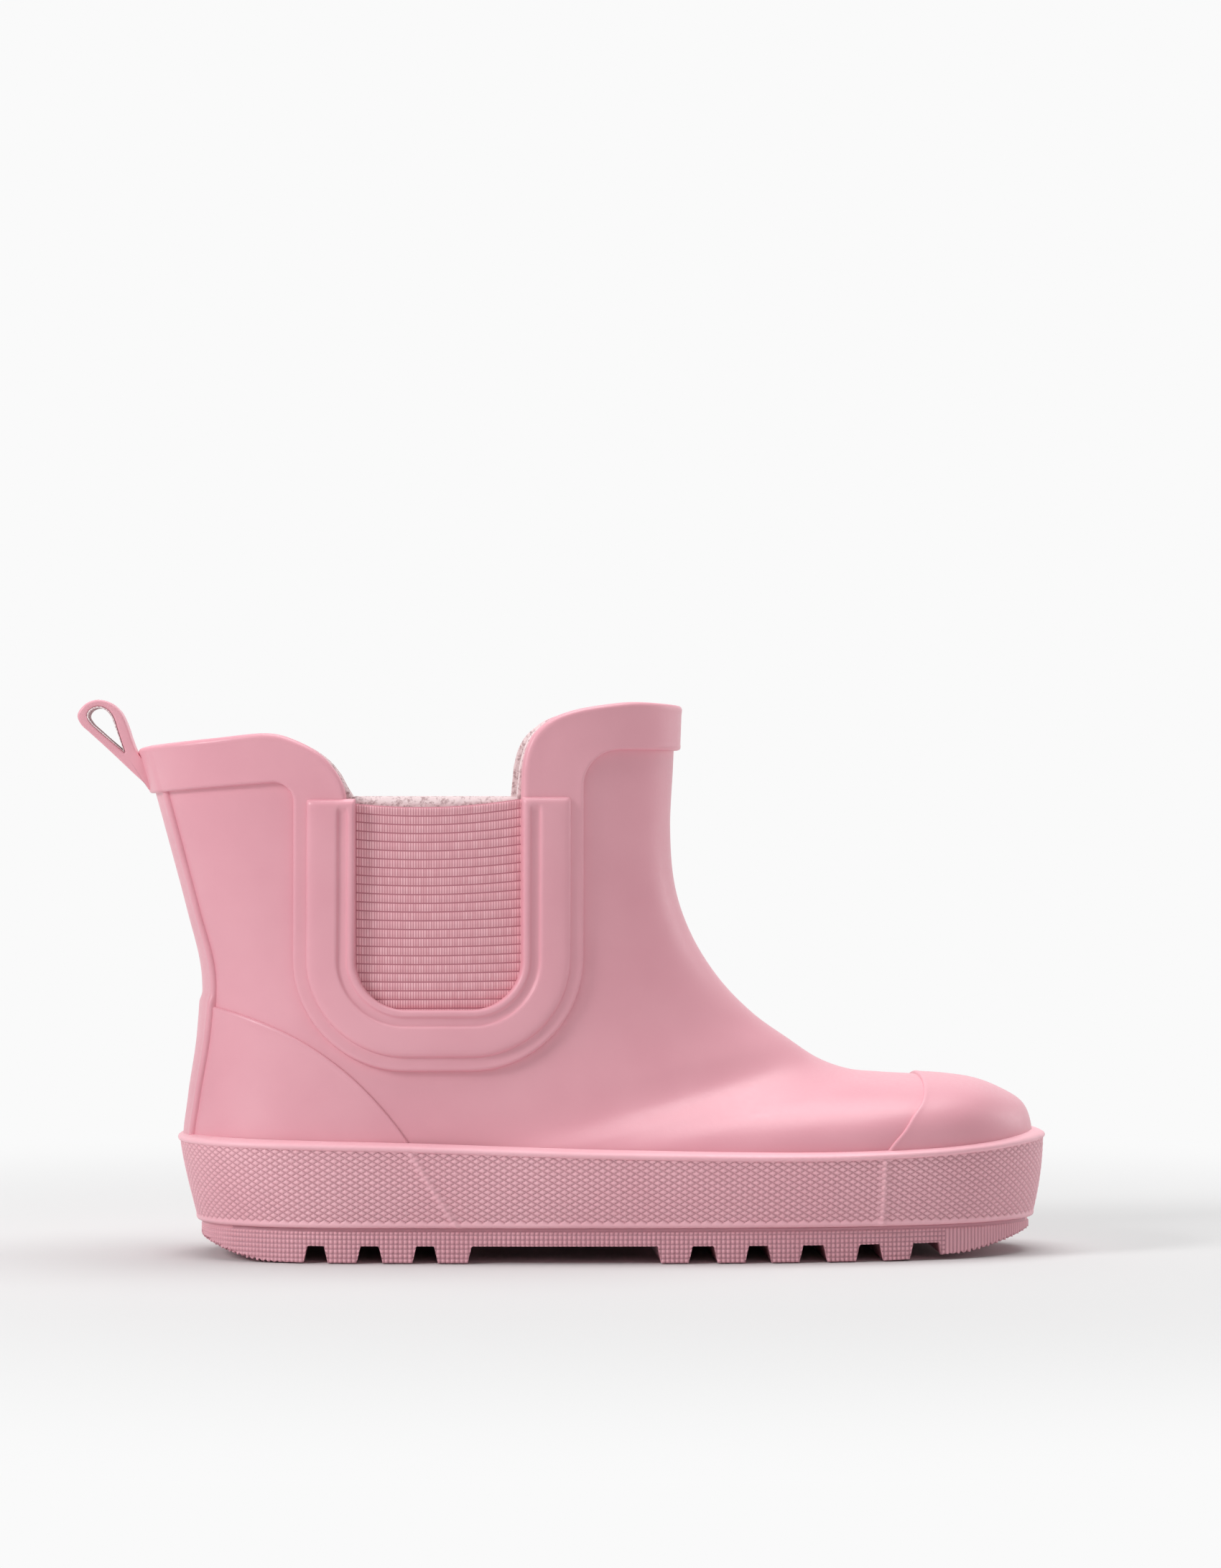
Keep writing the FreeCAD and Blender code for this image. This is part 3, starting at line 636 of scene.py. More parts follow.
@dataclass(frozen=True)
class WovenTape:
    """Thin plain-woven cotton tape, unbleached."""

    name: str = "woven_cotton_tape"
    main: str = "f3e2e2"
    shade: str = "d5b9bd"
    thread: float = 0.45        # mm, about twice the real one so that it shows

    def make(self) -> bpy.types.Material:
        """Material of the tape."""
        material, tree, shader = new_material(self.name)
        place = add_node(tree, "ShaderNodeTexCoord").outputs["Object"]
        weave = add_node(tree, "ShaderNodeTexChecker",
                         {"Scale": 1000 / self.thread, "Color1": linear(self.main),
                          "Color2": linear(self.shade)}, {"Vector": place})
        bump = add_node(tree, "ShaderNodeBump", {"Strength": 0.6, "Distance": 0.05 * MM},
                        {"Height": weave.outputs["Fac"]})
        tree.links.new(weave.outputs["Color"], shader.inputs["Base Color"])
        tree.links.new(bump.outputs["Normal"], shader.inputs["Normal"])
        shader.inputs["Roughness"].default_value = 0.85
        return material


class Finish(Enum):
    """Finishes of the boot, by the record's material slot."""

    UPPER = ("upper_rubber", PressedRubber("pressed_upper_rubber", "e6a6b2", "df9ca9"))
    # SIDEWALL and OUTSOLE take a groove colour: painted shade at the bottom of their pressed
    # grooves.
    SIDEWALL = ("sidewall_rubber", PressedRubber("pressed_sidewall_rubber", "f7c0ca", "f0b5c0",
                                                 roughness=0.46, groove="cf909c"))
    OUTSOLE = ("outsole_rubber", PressedRubber("moulded_outsole_rubber", "efb3be", "e3a5b1",
                                               roughness=0.5, groove="c8909c"))
    WEBBING = ("gore_webbing", Webbing())
    LINING = ("lining_knit", BrushedKnit("brushed_cotton_jersey", "f3dcdd", "c2a3a5"))
    TAPE = ("loop_tape", WovenTape())
    BOARD = ("board", Granular("pressed_fibre_board", "c9ad8c", "a98b6a", 0.8, 0.05))
    FOAM = ("foam", Granular("open_cell_foam", "f2d9da", "d9b3b8", 0.7, 0.15))
    SPONGE = ("sponge_rubber", Granular("sponge_rubber", "d8a3ac", "b9808b", 1.0, 0.2))
    STIFFENER = ("stiffener", Granular("thermoplastic_stiffener", "e9e2da", "d8cfc4", 1.4,
                                       0.03, 0.55))

    @property
    def slot(self) -> str:
        """Slot name in the record."""
        return self.value[0]


FINISHES: dict[Finish, bpy.types.Material] = {}


def finish_of(finish: Finish) -> bpy.types.Material:
    """Material of a finish, made once."""
    if finish not in FINISHES:
        FINISHES[finish] = finish.value[1].make()
    return FINISHES[finish]


def dress(piece: bpy.types.Object, body: str, finish: Finish, *nodes: str
          ) -> bpy.types.Object:
    """Ties a piece to its body with its finish."""
    return fit_out(piece, body, finish.slot, finish_of(finish), *nodes)


# ------------------------------------------------------------------ upper
@dataclass
class Upper:
    """Rubber layers of the upper: shell, collar trim, gore frames, counter, cap, stay."""

    shell_wall: float = 1.5
    trim_top: float = 1.45      # outside of the trim above the last
    trim_inside: float = -1.62  # where its rolled rim ends inside
    frame_top: float = 2.6
    groove_depth: float = 0.75
    skirt: float = 8.0          # how far the shell stays under the trim
    stay_half: float = 12.0     # half width of the heel strip
    stay_lift: float = 0.45     # how far the strip lifts the trim that covers it

    def build(self) -> None:
        """Makes every rubber layer."""
        self.shell()
        self.trim()
        for inner in (False, True):
            self.gore_frame(inner)
        self.counter()
        self.cap()
        self.stay()

    def shell(self) -> None:
        """Upper's shell, open at the collar and at the gores."""
        rows, columns = 240, 200
        t = np.linspace(0.25, LAST.end, rows)[:, None]
        angle = np.linspace(0.0, 2 * math.pi, columns)[None]
        points = LAST.point(t, angle)
        middle = (points[:-1, :-1] + points[1:, 1:]) / 2
        x, z = middle[..., 0], middle[..., 2]
        gone = SIDE.inside_window(x, z, self.skirt) | (z > SIDE.top_level(x) - 3.0)
        piece = lay_grid("upper_shell_skin", points, drop=gone)
        thicken(piece, self.shell_wall)
        dress(piece, "boot", Finish.UPPER, "upper_shell")

    def trim_edges(self) -> tuple[Array, Array, Array]:
        """Matched upper and lower edges of the trim on one side, heel seam to front seam.

        Returns:
            The upper edge, the lower edge, and how far each row belongs to a gore window.
        """
        back, front = SIDE.gore_back, SIDE.gore_front
        wide = SIDE.frame_width + SIDE.surround
        rear, fore = SIDE.rear_top, SIDE.front_top
        hump, rise = back - 14.2, front + 11.8
        soft = np.linspace(0.0, 1.0, 70) ** 2
        seam_top, seam_low = LAST.seam_x(113.4) - 0.3, LAST.seam_x(SIDE.step_rear_low) - 0.3
        x = seam_top + (hump - seam_top) * soft
        a1 = np.stack([x, np.interp(x, rear[:, 0], rear[:, 1])], -1)
        r1 = SIDE.step_rear_radius
        corner = (back - wide - r1, SIDE.step_rear_high - r1)
        b1 = np.stack([seam_low + (corner[0] - seam_low) * soft,
                       SIDE.step_rear_low + soft * (SIDE.step_rear_high
                                                    - SIDE.step_rear_low)], -1)
        a2 = even(np.vstack([rear[rear[:, 0] >= hump], [[back, SIDE.gore_top]]]), 34)
        b2 = arc(corner, r1, 90.0, 0.0, 34)
        a3 = SIDE.u_path(0.0, SIDE.gore_top, SIDE.gore_top)[::-1]
        r2 = SIDE.step_front_radius
        b3 = SIDE.u_path(wide, SIDE.step_front - r2, corner[1])[::-1]
        a4 = even(fore[fore[:, 0] <= rise], 44)
        b4 = arc((front + wide + r2, SIDE.step_front - r2), r2, 180.0, 90.0, 44)
        seam_high = LAST.seam_x(122.5, True) + 0.3
        seam_step = LAST.seam_x(SIDE.step_front, True) + 0.3
        soft = (1 - np.linspace(0.0, 1.0, 60)) ** 2
        x = seam_high + (rise - seam_high) * soft
        a5 = np.stack([x, np.interp(x, fore[:, 0], fore[:, 1])], -1)
        b5 = np.stack([seam_step + (front + wide + r2 - seam_step) * soft,
                       SIDE.step_front + 0 * soft], -1)
        upper = [a1[:-1], a2[:-1], a3[:-1], a4[:-1], a5]
        lower = [b1[:-1], b2[:-1], b3[:-1], b4[:-1], b5]
        window = np.concatenate([np.full(len(p), k == 2) for k, p in enumerate(upper)])
        return np.vstack(upper), np.vstack(lower), window

    def trim(self) -> None:
        """Collar band and gore surrounds, one piece with a rolled rim and a soft step."""
        top, inside = self.trim_top, self.trim_inside
        profile = [(0, 3.0, inside), (0, 1.3, inside), (0, 0.6, inside + 0.1),
                   (0, 0.2, inside + 0.4), (0, 0.0, inside + 0.9), (0, 0.0, top - 1.1),
                   (0, 0.12, top - 0.5), (0, 0.4, top - 0.1), (0, 0.9, top + 0.1),
                   (0, 1.5, top + 0.06), (0, 2.2, top), (0.35, 0, top), (0.5, 0, top),
                   (0.65, 0, top), (0.8, 0, top), (1, -1.5, top), (1, -0.95, top + 0.07),
                   (1, -0.5, top + 0.03), (1, -0.2, top - 0.25), (1, -0.04, top - 0.65),
                   (1, 0, top - 1.0), (1, 0, -0.2)]
        a, b, window = self.trim_edges()
        x, z, offset = across(a, b, profile)
        floor = np.where(window, -0.05, inside)[:, None]
        offset = np.maximum(offset, np.minimum(floor, 0.0))
        sides = []
        for inner in (False, True):
            y = np.abs(on_side(x, z, 0.0, inner)[..., 1])
            over = self.stay_lift * ease((self.stay_half - y) / 0.9) * (x < SIDE.gore_back)
            sides.append(on_side(x, z, offset + np.where(offset > 0, over, 0.0), inner))
        points = np.concatenate([sides[0], sides[1][-2::-1]])
        dress(lay_grid("collar_trim_band", points), "boot", Finish.UPPER, "topline_trim")

    def gore_frame(self, inner: bool) -> None:
        """U-shaped moulded frame around a gore, with its groove and rounded ends."""
        top, deep = self.frame_top, self.frame_top - self.groove_depth
        body = [(0, 0.0, -0.7), (0, 0.0, 0.6), (0, 0.02, top - 1.0), (0, 0.14, top - 0.45),
                (0, 0.4, top - 0.12), (0, 0.8, top), (0, 1.25, top - 0.02),
                (0, 1.55, top - 0.16), (0, 1.72, top - 0.4), (0, 1.9, deep + 0.12),
                (0, 2.2, deep), (0, 3.15, deep), (0, 3.5, deep + 0.06),
                (0, 3.7, deep + 0.3), (0, 3.85, top - 0.22), (0, 4.15, top - 0.03),
                (0, 4.6, top), (0.6, 0, top + 0.03), (0.75, 0, top + 0.02), (1, -1.9, top),
                (1, -1.1, top - 0.08), (1, -0.5, top - 0.32), (1, -0.15, top - 0.75),
                (1, 0, top - 1.2), (1, 0, 0.9)]
        slope = 1.0 / 76.4
        tops = [SIDE.gore_top + 0.8 + slope * (x - SIDE.gore_back + 20.0)
                for x in (SIDE.gore_front, SIDE.gore_back)]
        length = tops[0] - SIDE.gore_bottom - SIDE.gore_radius
        ends = np.array([0.0, 0.06, 0.2, 0.42, 0.75, 1.15, 1.6, 2.1, 2.7, 3.4]) / length
        limb = np.concatenate([ends, np.linspace(ends[-1], 1.0, 34)[1:]])
        a, b = (SIDE.u_path(grow, *tops, limb=limb) for grow in (0.0, SIDE.frame_width))
        x, z, offset = across(a, b, body)
        back = np.linalg.norm(np.diff(a, axis=0), axis=1)
        run = np.concatenate([[0.0], np.cumsum(back)])
        near = np.minimum(run, run[-1] - run)[:, None]
        column = np.arange(len(body))[None]
        filled = np.where((column > 5) & (column < 17), top, offset)
        offset = filled + (offset - filled) * ease((near - 1.5) / 1.4)
        roll = np.sqrt(np.clip(1 - (1 - np.clip(near / 1.5, 0, 1)) ** 2, 0, 1))
        low = 0.9
        offset = np.where(offset > low, low + (offset - low) * roll, offset)
        side = "inner" if inner else "outer"
        piece = lay_grid(f"gore_frame_moulding_{side}", on_side(x, z, offset, inner))
        dress(piece, "boot", Finish.UPPER, f"gore_frame_{side}")

    def counter(self) -> None:
        """Thin rubber layer around the heel, with a soft raised edge."""
        edge = smooth_path([(-95.0, 56.8), (-77.0, 55.5), (-60.5, 49.8), (-48.5, 42.0),
                            (-39.2, 32.6), (-33.1, 24.0), (-30.1, 17.5)])
        seam = LAST.seam_x(56.3) - 0.3
        soft = np.linspace(0.0, 1.0, 90)
        length = np.interp(seam, edge[:, 0], np.arange(len(edge)))
        index = length + (len(edge) - 1 - length) * soft ** 1.6
        a = np.stack([np.interp(index, np.arange(len(edge)), edge[:, k]) for k in (0, 1)], -1)
        low = LAST.seam_x(17.0) - 0.3
        b = np.stack([low + (a[-1, 0] + 1.5 - low) * soft ** 1.6, 17.0 + 0 * soft], -1)
        profile = [(0, 0, -0.1), (0, 0.03, 0.3), (0, 0.18, 0.55), (0, 0.45, 0.68),
                   (0, 0.8, 0.7), (0, 1.3, 0.63), (0, 2.0, 0.6)]
        profile += [(share, 2.0 * (1 - share), 0.6) for share in np.linspace(0, 1, 22)[1:]]
        x, z, offset = across(a, b, profile)
        sides = [on_side(x, z, offset, inner) for inner in (False, True)]
        points = np.concatenate([sides[0][::-1], sides[1][1:]])
        piece = lay_grid("heel_counter_sheet", points)
        dress(piece, "boot", Finish.UPPER, "heel_counter")

    def cap(self) -> None:
        """Thin rubber layer over the toes, with a soft raised edge."""
        edge = smooth_path([(80.0, 46.0), (80.4, 39.6), (79.9, 37.0), (78.6, 34.3),
                            (76.3, 31.4), (74.4, 28.6), (72.1, 26.1), (70.6, 24.0),
                            (66.0, 12.0)])
        angle = np.linspace(0.42, 2 * math.pi - 0.42, 150)
        low, high = np.full(angle.shape, 9.0), np.full(angle.shape, LAST.end)
        for _ in range(40):
            mid = (low + high) / 2
            p = LAST.point(mid, angle)
            ahead = p[..., 0] > np.interp(-p[..., 2], -edge[:, 1], edge[:, 0])
            low, high = np.where(ahead, low, mid), np.where(ahead, mid, high)
        start = (low + high) / 2
        step = np.linalg.norm(LAST.point(start + 0.05, angle) - LAST.point(start, angle),
                              axis=-1) / 0.05
        near = np.array([0.0, 0.03, 0.18, 0.45, 0.8, 1.3, 2.0])
        t = start[None] + near[:, None] / step[None]
        far = np.linspace(0.0, 1.0, 44)[1:, None]
        t = np.vstack([t, t[-1] + far * (LAST.end - t[-1])])
        offset = np.concatenate([[-0.1, 0.3, 0.55, 0.68, 0.7, 0.63, 0.6],
                                 np.full(43, 0.6)])[:, None]
        piece = lay_grid("toe_cap_sheet", LAST.point(t, angle[None], offset))
        dress(piece, "boot", Finish.UPPER, "toe_cap")

    def stay(self) -> None:
        """Strip over the heel seam with beaded edges, lying over the counter below."""
        half = self.stay_half
        t = np.linspace(0.8, 7.3, 130)[:, None]
        edge = np.array([half, half - 0.03, half - 0.2, half - 0.5, half - 0.9, half - 1.4,
                         half - 2.0, half - 2.8])
        rise = np.array([-0.1, 0.35, 0.75, 0.95, 1.0, 0.9, 0.76, 0.75])
        y = np.concatenate([edge, np.linspace(half - 3.8, -half + 3.8, 13), -edge[::-1]])
        lift = np.concatenate([rise, np.full(13, 0.75), rise[::-1]])
        values = LAST.values(t)
        width, power = values[4], values[6]
        angle = np.arcsin((np.abs(y)[None] / width) ** (power / 2)) * np.sign(y)[None]
        base = LAST.base(t, angle)
        over = 0.62 * ease((58.6 - base[..., 2]) / 2.6)
        offset = np.where(lift[None] > 0, lift[None] + over, lift[None])
        piece = lay_grid("back_stay_strip", LAST.point(t, angle, offset))
        dress(piece, "boot", Finish.UPPER, "back_stay")


@dataclass
class Gore:
    """Elastic webbing in both gore windows."""

    row: float = 1.95
    pitch: float = 0.57
    tuck: float = 1.6           # webbing that runs behind the frame
    level: float = -0.75        # its face below the last
    rib: float = 0.22
    thread: float = 0.10
    rise: float = 1.1           # of its top edge from back to front
    sag: float = 1.25           # of its top edge in the middle
    wall: float = 0.9

    def build(self) -> None:
        """Makes both webbings."""
        for inner in (False, True):
            self.webbing(inner)

    def webbing(self, inner: bool) -> None:
        """Webbing of one side, each rib and thread in relief."""
        x0, x1 = SIDE.gore_back - self.tuck, SIDE.gore_front + self.tuck
        z0 = SIDE.gore_bottom - self.tuck
        columns = int((x1 - x0) / self.pitch * 3) + 1
        rows = int((SIDE.gore_top - z0) / self.row * 7) + 1
        x = np.linspace(x0, x1, columns)[:, None]
        half = (SIDE.gore_front - SIDE.gore_back) / 2
        middle = (SIDE.gore_front + SIDE.gore_back) / 2
        drop = self.sag * np.clip(1 - ((x - middle) / half) ** 2, 0, 1)
        top = SIDE.gore_top + self.rise * (x - SIDE.gore_back) / (2 * half) - drop
        share = np.linspace(0.0, 1.0, rows)[None]
        z = z0 + share * (top - z0)
        v = share * (SIDE.gore_top - z0) + 0 * x
        u = x - x0 + 0 * v
        under = (SIDE.gore_top - z0) - v
        ribbed = ease((under - 1.0) / 0.5)
        wave = np.abs(np.sin(math.pi * v / self.row)) ** 0.8
        dash = np.abs(np.sin(math.pi * u / self.pitch))
        relief = ribbed * (self.rib * wave + self.thread * dash * wave)
        rim = (1 - ribbed) * 0.42 * np.sqrt(np.clip(1 - (1 - under / 0.7) ** 2, 0, 1))
        rim = np.where(under > 0.7, (1 - ribbed) * 0.42, rim)
        side = "inner" if inner else "outer"
        points = on_side(x, z, self.level + relief + rim, inner)
        piece = lay_grid(f"gore_webbing_{side}", points, uv=np.stack([u, v], -1))
        thicken(piece, self.wall)
        dress(piece, "boot", Finish.WEBBING, f"gore_elastic_{side}")


# ------------------------------------------------------------------ sole
@dataclass
class Sole:
    """Foxing with its rolled top edge, and the outsole's patterned sidewall."""

    level: float = 20.0         # where the foxing's outline is measured
    wall: float = 3.0
    bottom: float = 7.7
    bead: float = 1.6
    diamond: tuple[float, float] = (2.4, 1.35)
    diamond_height: float = 0.42
    square: float = 1.03
    square_height: float = 0.34
    outsole_inset: float = 1.3
    outsole_top: float = 7.55
    lug_root: float = 3.7
    flank: float = 0.85
    lugs: tuple[tuple[float, float], ...] = (
        (-120.0, -57.7), (-52.2, -45.9), (-40.2, -33.7), (-28.1, -21.6), (20.8, 26.8),
        (33.2, 39.2), (45.1, 51.2), (57.5, 63.8), (70.1, 75.9), (83.5, 120.0))
    rolls: tuple[tuple[float, float, int], ...] = ((-58.0, 60.0, -1), (69.0, 110.0, 1))
    tooth: float = 0.75         # depth of the notches along the rolled edges
    levels: tuple[float, ...] = (7.65, 13.5, 20.0, 32.0)
    heel_inset: tuple[float, ...] = (4.4, 2.9, 1.3, -0.2)
    side_inset: tuple[float, ...] = (2.4, 0.9, 0.0, -0.2)
    toe_inset: tuple[float, ...] = (1.75, 0.45, -0.45, -0.5)

    def build(self) -> None:
        """Makes the foxing, its bead and the outsole's sidewall."""
        self.foxing()
        self.rolled_edge()
        self.sidewall()

    def outline(self, count: int) -> tuple[Array, Array, float]:
        """Outline of the last at the measuring level, from the heel over the outer side.

        Args:
            count: Number of points, the last one on the first.

        Returns:
            The points, their outward directions, and the length of the foxing's edge.
        """
        t = np.concatenate([np.linspace(7.0, 9.0, 200), np.linspace(9.0, LAST.end, 400)[1:]])
        bx, bz, fx, fz, half, widest, p_back, p_front, shift = LAST.values(t)
        share = (self.level - bz) / (fz - bz)
        keep = share >= 0
        back = np.clip(1 - share / widest, 0, 1) ** (p_back / 2)
        front = np.clip((share - widest) / (1 - widest), 0, 1) ** (p_front / 2)
        angle = np.where(share < widest, np.arccos(np.clip(back, -1, 1)),
                         np.arccos(-np.clip(front, 0, 1)))[keep]
        side = LAST.base(t[keep], angle)[:, :2]
        other = LAST.base(t[keep], 2 * math.pi - angle)[::-1, :2]
        start = np.array([[LAST.seam_x(self.level), side[0, 1] + 0.0]])
        start[0, 1] = (side[0, 1] + other[-1, 1]) / 2
        ring = even(np.vstack([start, side, other, start]), 1441)[:-1]
        for _ in range(60):
            ring = (np.roll(ring, 1, 0) + 2 * ring + np.roll(ring, -1, 0)) / 4
        grown = ring + self.wall * self.outward(ring)
        step = np.linalg.norm(np.diff(np.vstack([grown, grown[:1]]), axis=0), axis=1)
        run = np.concatenate([[0.0], np.cumsum(step)])
        wanted = np.linspace(0.0, run[-1], count)
        loop = np.vstack([ring, ring[:1]])
        points = np.stack([np.interp(wanted, run, loop[:, k]) for k in (0, 1)], -1)
        points[-1] = points[0]
        ways = self.outward(points[:-1])
        return points, np.vstack([ways, ways[:1]]), float(run[-1])

    @staticmethod
    def outward(ring: Array) -> Array:
        """Outward directions of a ring of points that runs counter-clockwise."""
        run = np.roll(ring, -1, 0) - np.roll(ring, 1, 0)
        run /= np.linalg.norm(run, axis=1, keepdims=True)
        return np.stack([run[:, 1], -run[:, 0]], -1)

    def stand(self, x: Array, z: Array) -> Array:
        """How far the foxing's outside stands out of the outline at x and height z."""
        heel = np.clip((-50.0 - x) / 36.0, 0, 1)
        toe = np.clip((x - 70.0) / 36.0, 0, 1)
        at_heel, at_side, at_toe = (np.polyval(np.polyfit(self.levels, inset, 3), z)
                                    for inset in (self.heel_inset, self.side_inset,
                                                  self.toe_inset))
        return self.wall - at_side - heel * (at_heel - at_side) - toe * (at_toe - at_side)

    @staticmethod
    def top_line(x: Array) -> Array:
        """Height of the foxing's rolled edge at x."""
        path = smooth_path([(-112.0, 27.2), (-100.0, 27.2), (-86.0, 27.0), (-40.0, 26.2),
                            (15.0, 24.5), (62.0, 24.0), (92.0, 25.4), (108.0, 27.4),
                            (125.0, 29.4)])
        return np.interp(x, path[:, 0], path[:, 1])

    def ring_points(self, points: Array, ways: Array, z: Array, push: Array) -> Array:
        """Points of a ring grid: outline pushed outwards at heights z."""
        flat = points[:, None] + ways[:, None] * push[..., None]
        return np.concatenate([flat, z[..., None]], axis=-1)

    def foxing(self) -> None:
        """Foxing's wall, pressed all over with a lattice of small raised diamonds."""
        wide, tall = self.diamond
        length = self.outline(721)[2]
        cells = round(length / wide)
        points, ways, _ = self.outline(cells * 6 + 1)
        start, step = 9.0, tall / 6
        rows = np.concatenate([[7.7, 7.95, 8.3, 8.7], np.arange(start, 25.6, step)])
        x = points[:, 0][:, None]
        z = np.minimum(rows[None], self.top_line(x) - self.bead + 0.45)
        u = np.arange(len(points))[:, None] / 6
        v = (rows[None] - start) / tall
        near = np.abs(u - np.round(u)) * 2 + np.abs(v - np.round(v)) * 2
        q = np.minimum(near, 2 - near)
        relief = self.diamond_height * ease((1 - q) / 0.45)
        relief = np.where(rows[None] < start, self.diamond_height, relief)
        relief = self.marks(x, z, relief)
        bulge = np.interp(rows, [7.7, 7.95, 8.3, 8.7], [-0.35, 0.05, 0.18, 0.1])
        bulge[rows >= start] = 0.0
        push = self.stand(x, z) - self.diamond_height + relief + bulge[None]
        inside = np.array([[-0.3, 22.0], [-0.3, 12.5], [-3.4 + 0.9, 8.2], [-2.5, 7.65]])
        z_in = np.broadcast_to(inside[:, 1][None], (len(points), 4))
        z_in = np.minimum(z_in, self.top_line(x) - self.bead + 0.2)
        push_in = np.broadcast_to(inside[:, 0][None], (len(points), 4))
        z = np.concatenate([z, z_in, z[:, :1]], axis=1)
        push = np.concatenate([push, push_in, push[:, :1]], axis=1)
        # Mask for painted shade in the grooves between the diamonds, darkened by the finish.
        groove = np.clip(1 - relief / (0.6 * self.diamond_height), 0, 1)
        groove = np.concatenate([groove, np.zeros((len(points), 5))], axis=1)
        piece = lay_grid("foxing_wall", self.ring_points(points, ways, z, push), closed=True,
                         groove_shade=groove)
        dress(piece, "boot", Finish.SIDEWALL, "foxing")

    def marks(self, x: Array, z: Array, relief: Array) -> Array:
        """Adds what shows through the foxing: lap, counter's edge and cap's edge."""
        lap = np.abs(x + 85.2) < 1.2
        relief = np.where(lap, self.diamond_height * 1.15, relief)
        run = -34.0 + (24.6 - z) * 0.605
        ridge = np.exp(-((x - run) / 0.75) ** 2) + np.exp(-((x - 69.4) / 0.65) ** 2)
        return relief + 0.42 * ridge

    def rolled_edge(self) -> None:
        """Rolled upper edge of the foxing, a rounded cord with a fine line under it."""
        points, ways, _ = self.outline(901)
        loop = [(-3.3, 0.3), (-2.2, 0.24), (-1.2, 0.08), (-0.35, -0.18), (0.2, -0.52),
                (0.4, -0.9), (0.34, -1.28), (0.02, -1.58), (-0.5, -1.7), (-1.8, -1.65),
                (-3.3, -1.5), (-3.4, -0.6), (-3.3, 0.3)]
        out, up = smooth_path(loop, 37).T
        x = points[:, 0][:, None]
        z = self.top_line(x) + up[None]
        push = self.stand(x, z) + out[None]
        push[:, -1], z[:, -1] = push[:, 0], z[:, 0]
        piece = lay_grid("foxing_rolled_edge", self.ring_points(points, ways, z, push),
                         closed=True)
        dress(piece, "boot", Finish.SIDEWALL, "foxing_bead")

    def floor_gap(self, x: Array) -> Array:
        """Height of the outsole's underside at x: lugs, gaps, and rolled heel and toe."""
        level = np.full(np.shape(x), self.lug_root)
        for start, end in self.lugs:
            edge = np.maximum(start - x, x - end) / self.flank
            level = np.minimum(level, np.clip(edge, 0, 1) * self.lug_root)
        for start, radius, way in self.rolls:
            past = np.clip((x - start) * way, 0, radius * 0.98)
            level = np.maximum(level, radius - np.sqrt(radius ** 2 - past ** 2))
        return level

    def sidewall(self) -> None:
        """Outsole's sidewall: rows of small raised squares, notched at heel and toe."""
        length = self.outline(721)[2]
        count = round(length / self.square) * 4
        points, ways, _ = self.outline(count + 1)
        x = points[:, 0][:, None]
        rows = np.arange(0.0, self.outsole_top, self.square / 4)
        rows = np.append(rows, self.outsole_top)
        u = np.arange(len(points))[:, None]
        tooth = self.tooth * np.abs(((u / 6) % 1) - 0.5) * 2
        rolled = np.clip((-60.0 - x) / 6, 0, 1) + np.clip((x - 84.0) / 5, 0, 1)
        floor = np.maximum(self.floor_gap(x) - rolled * tooth, 0.0) + 0.02
        z = np.minimum(np.maximum(rows[None], floor), self.outsole_top)
        along, up = u % 4 != 0, (np.arange(len(rows))[None] % 4 != 0)
        ribs_only = x > 84.0
        raised = along & (up | ribs_only)
        raised = raised & (rows[None] < self.outsole_top - 0.7)
        base = self.stand(x, np.full(x.shape, self.levels[0])) - self.outsole_inset
        push = base + 0.14 + self.square_height * raised
        z_in = np.concatenate([np.full(x.shape, self.outsole_top), floor, z[:, :1]], axis=1)
        push_in = np.concatenate([base - 0.5, base - 0.5, push[:, :1]], axis=1)
        # Mask for painted shade in the grooves between the raised squares, darkened by the finish.
        groove = np.concatenate([1.0 - raised, np.zeros(z_in.shape)], axis=1)
        z = np.concatenate([z, z_in], axis=1)
        push = np.concatenate([push, push_in], axis=1)
        piece = lay_grid("outsole_grip_skin", self.ring_points(points, ways, z, push),
                         closed=True, groove_shade=groove)
        dress(piece, "boot", Finish.OUTSOLE)


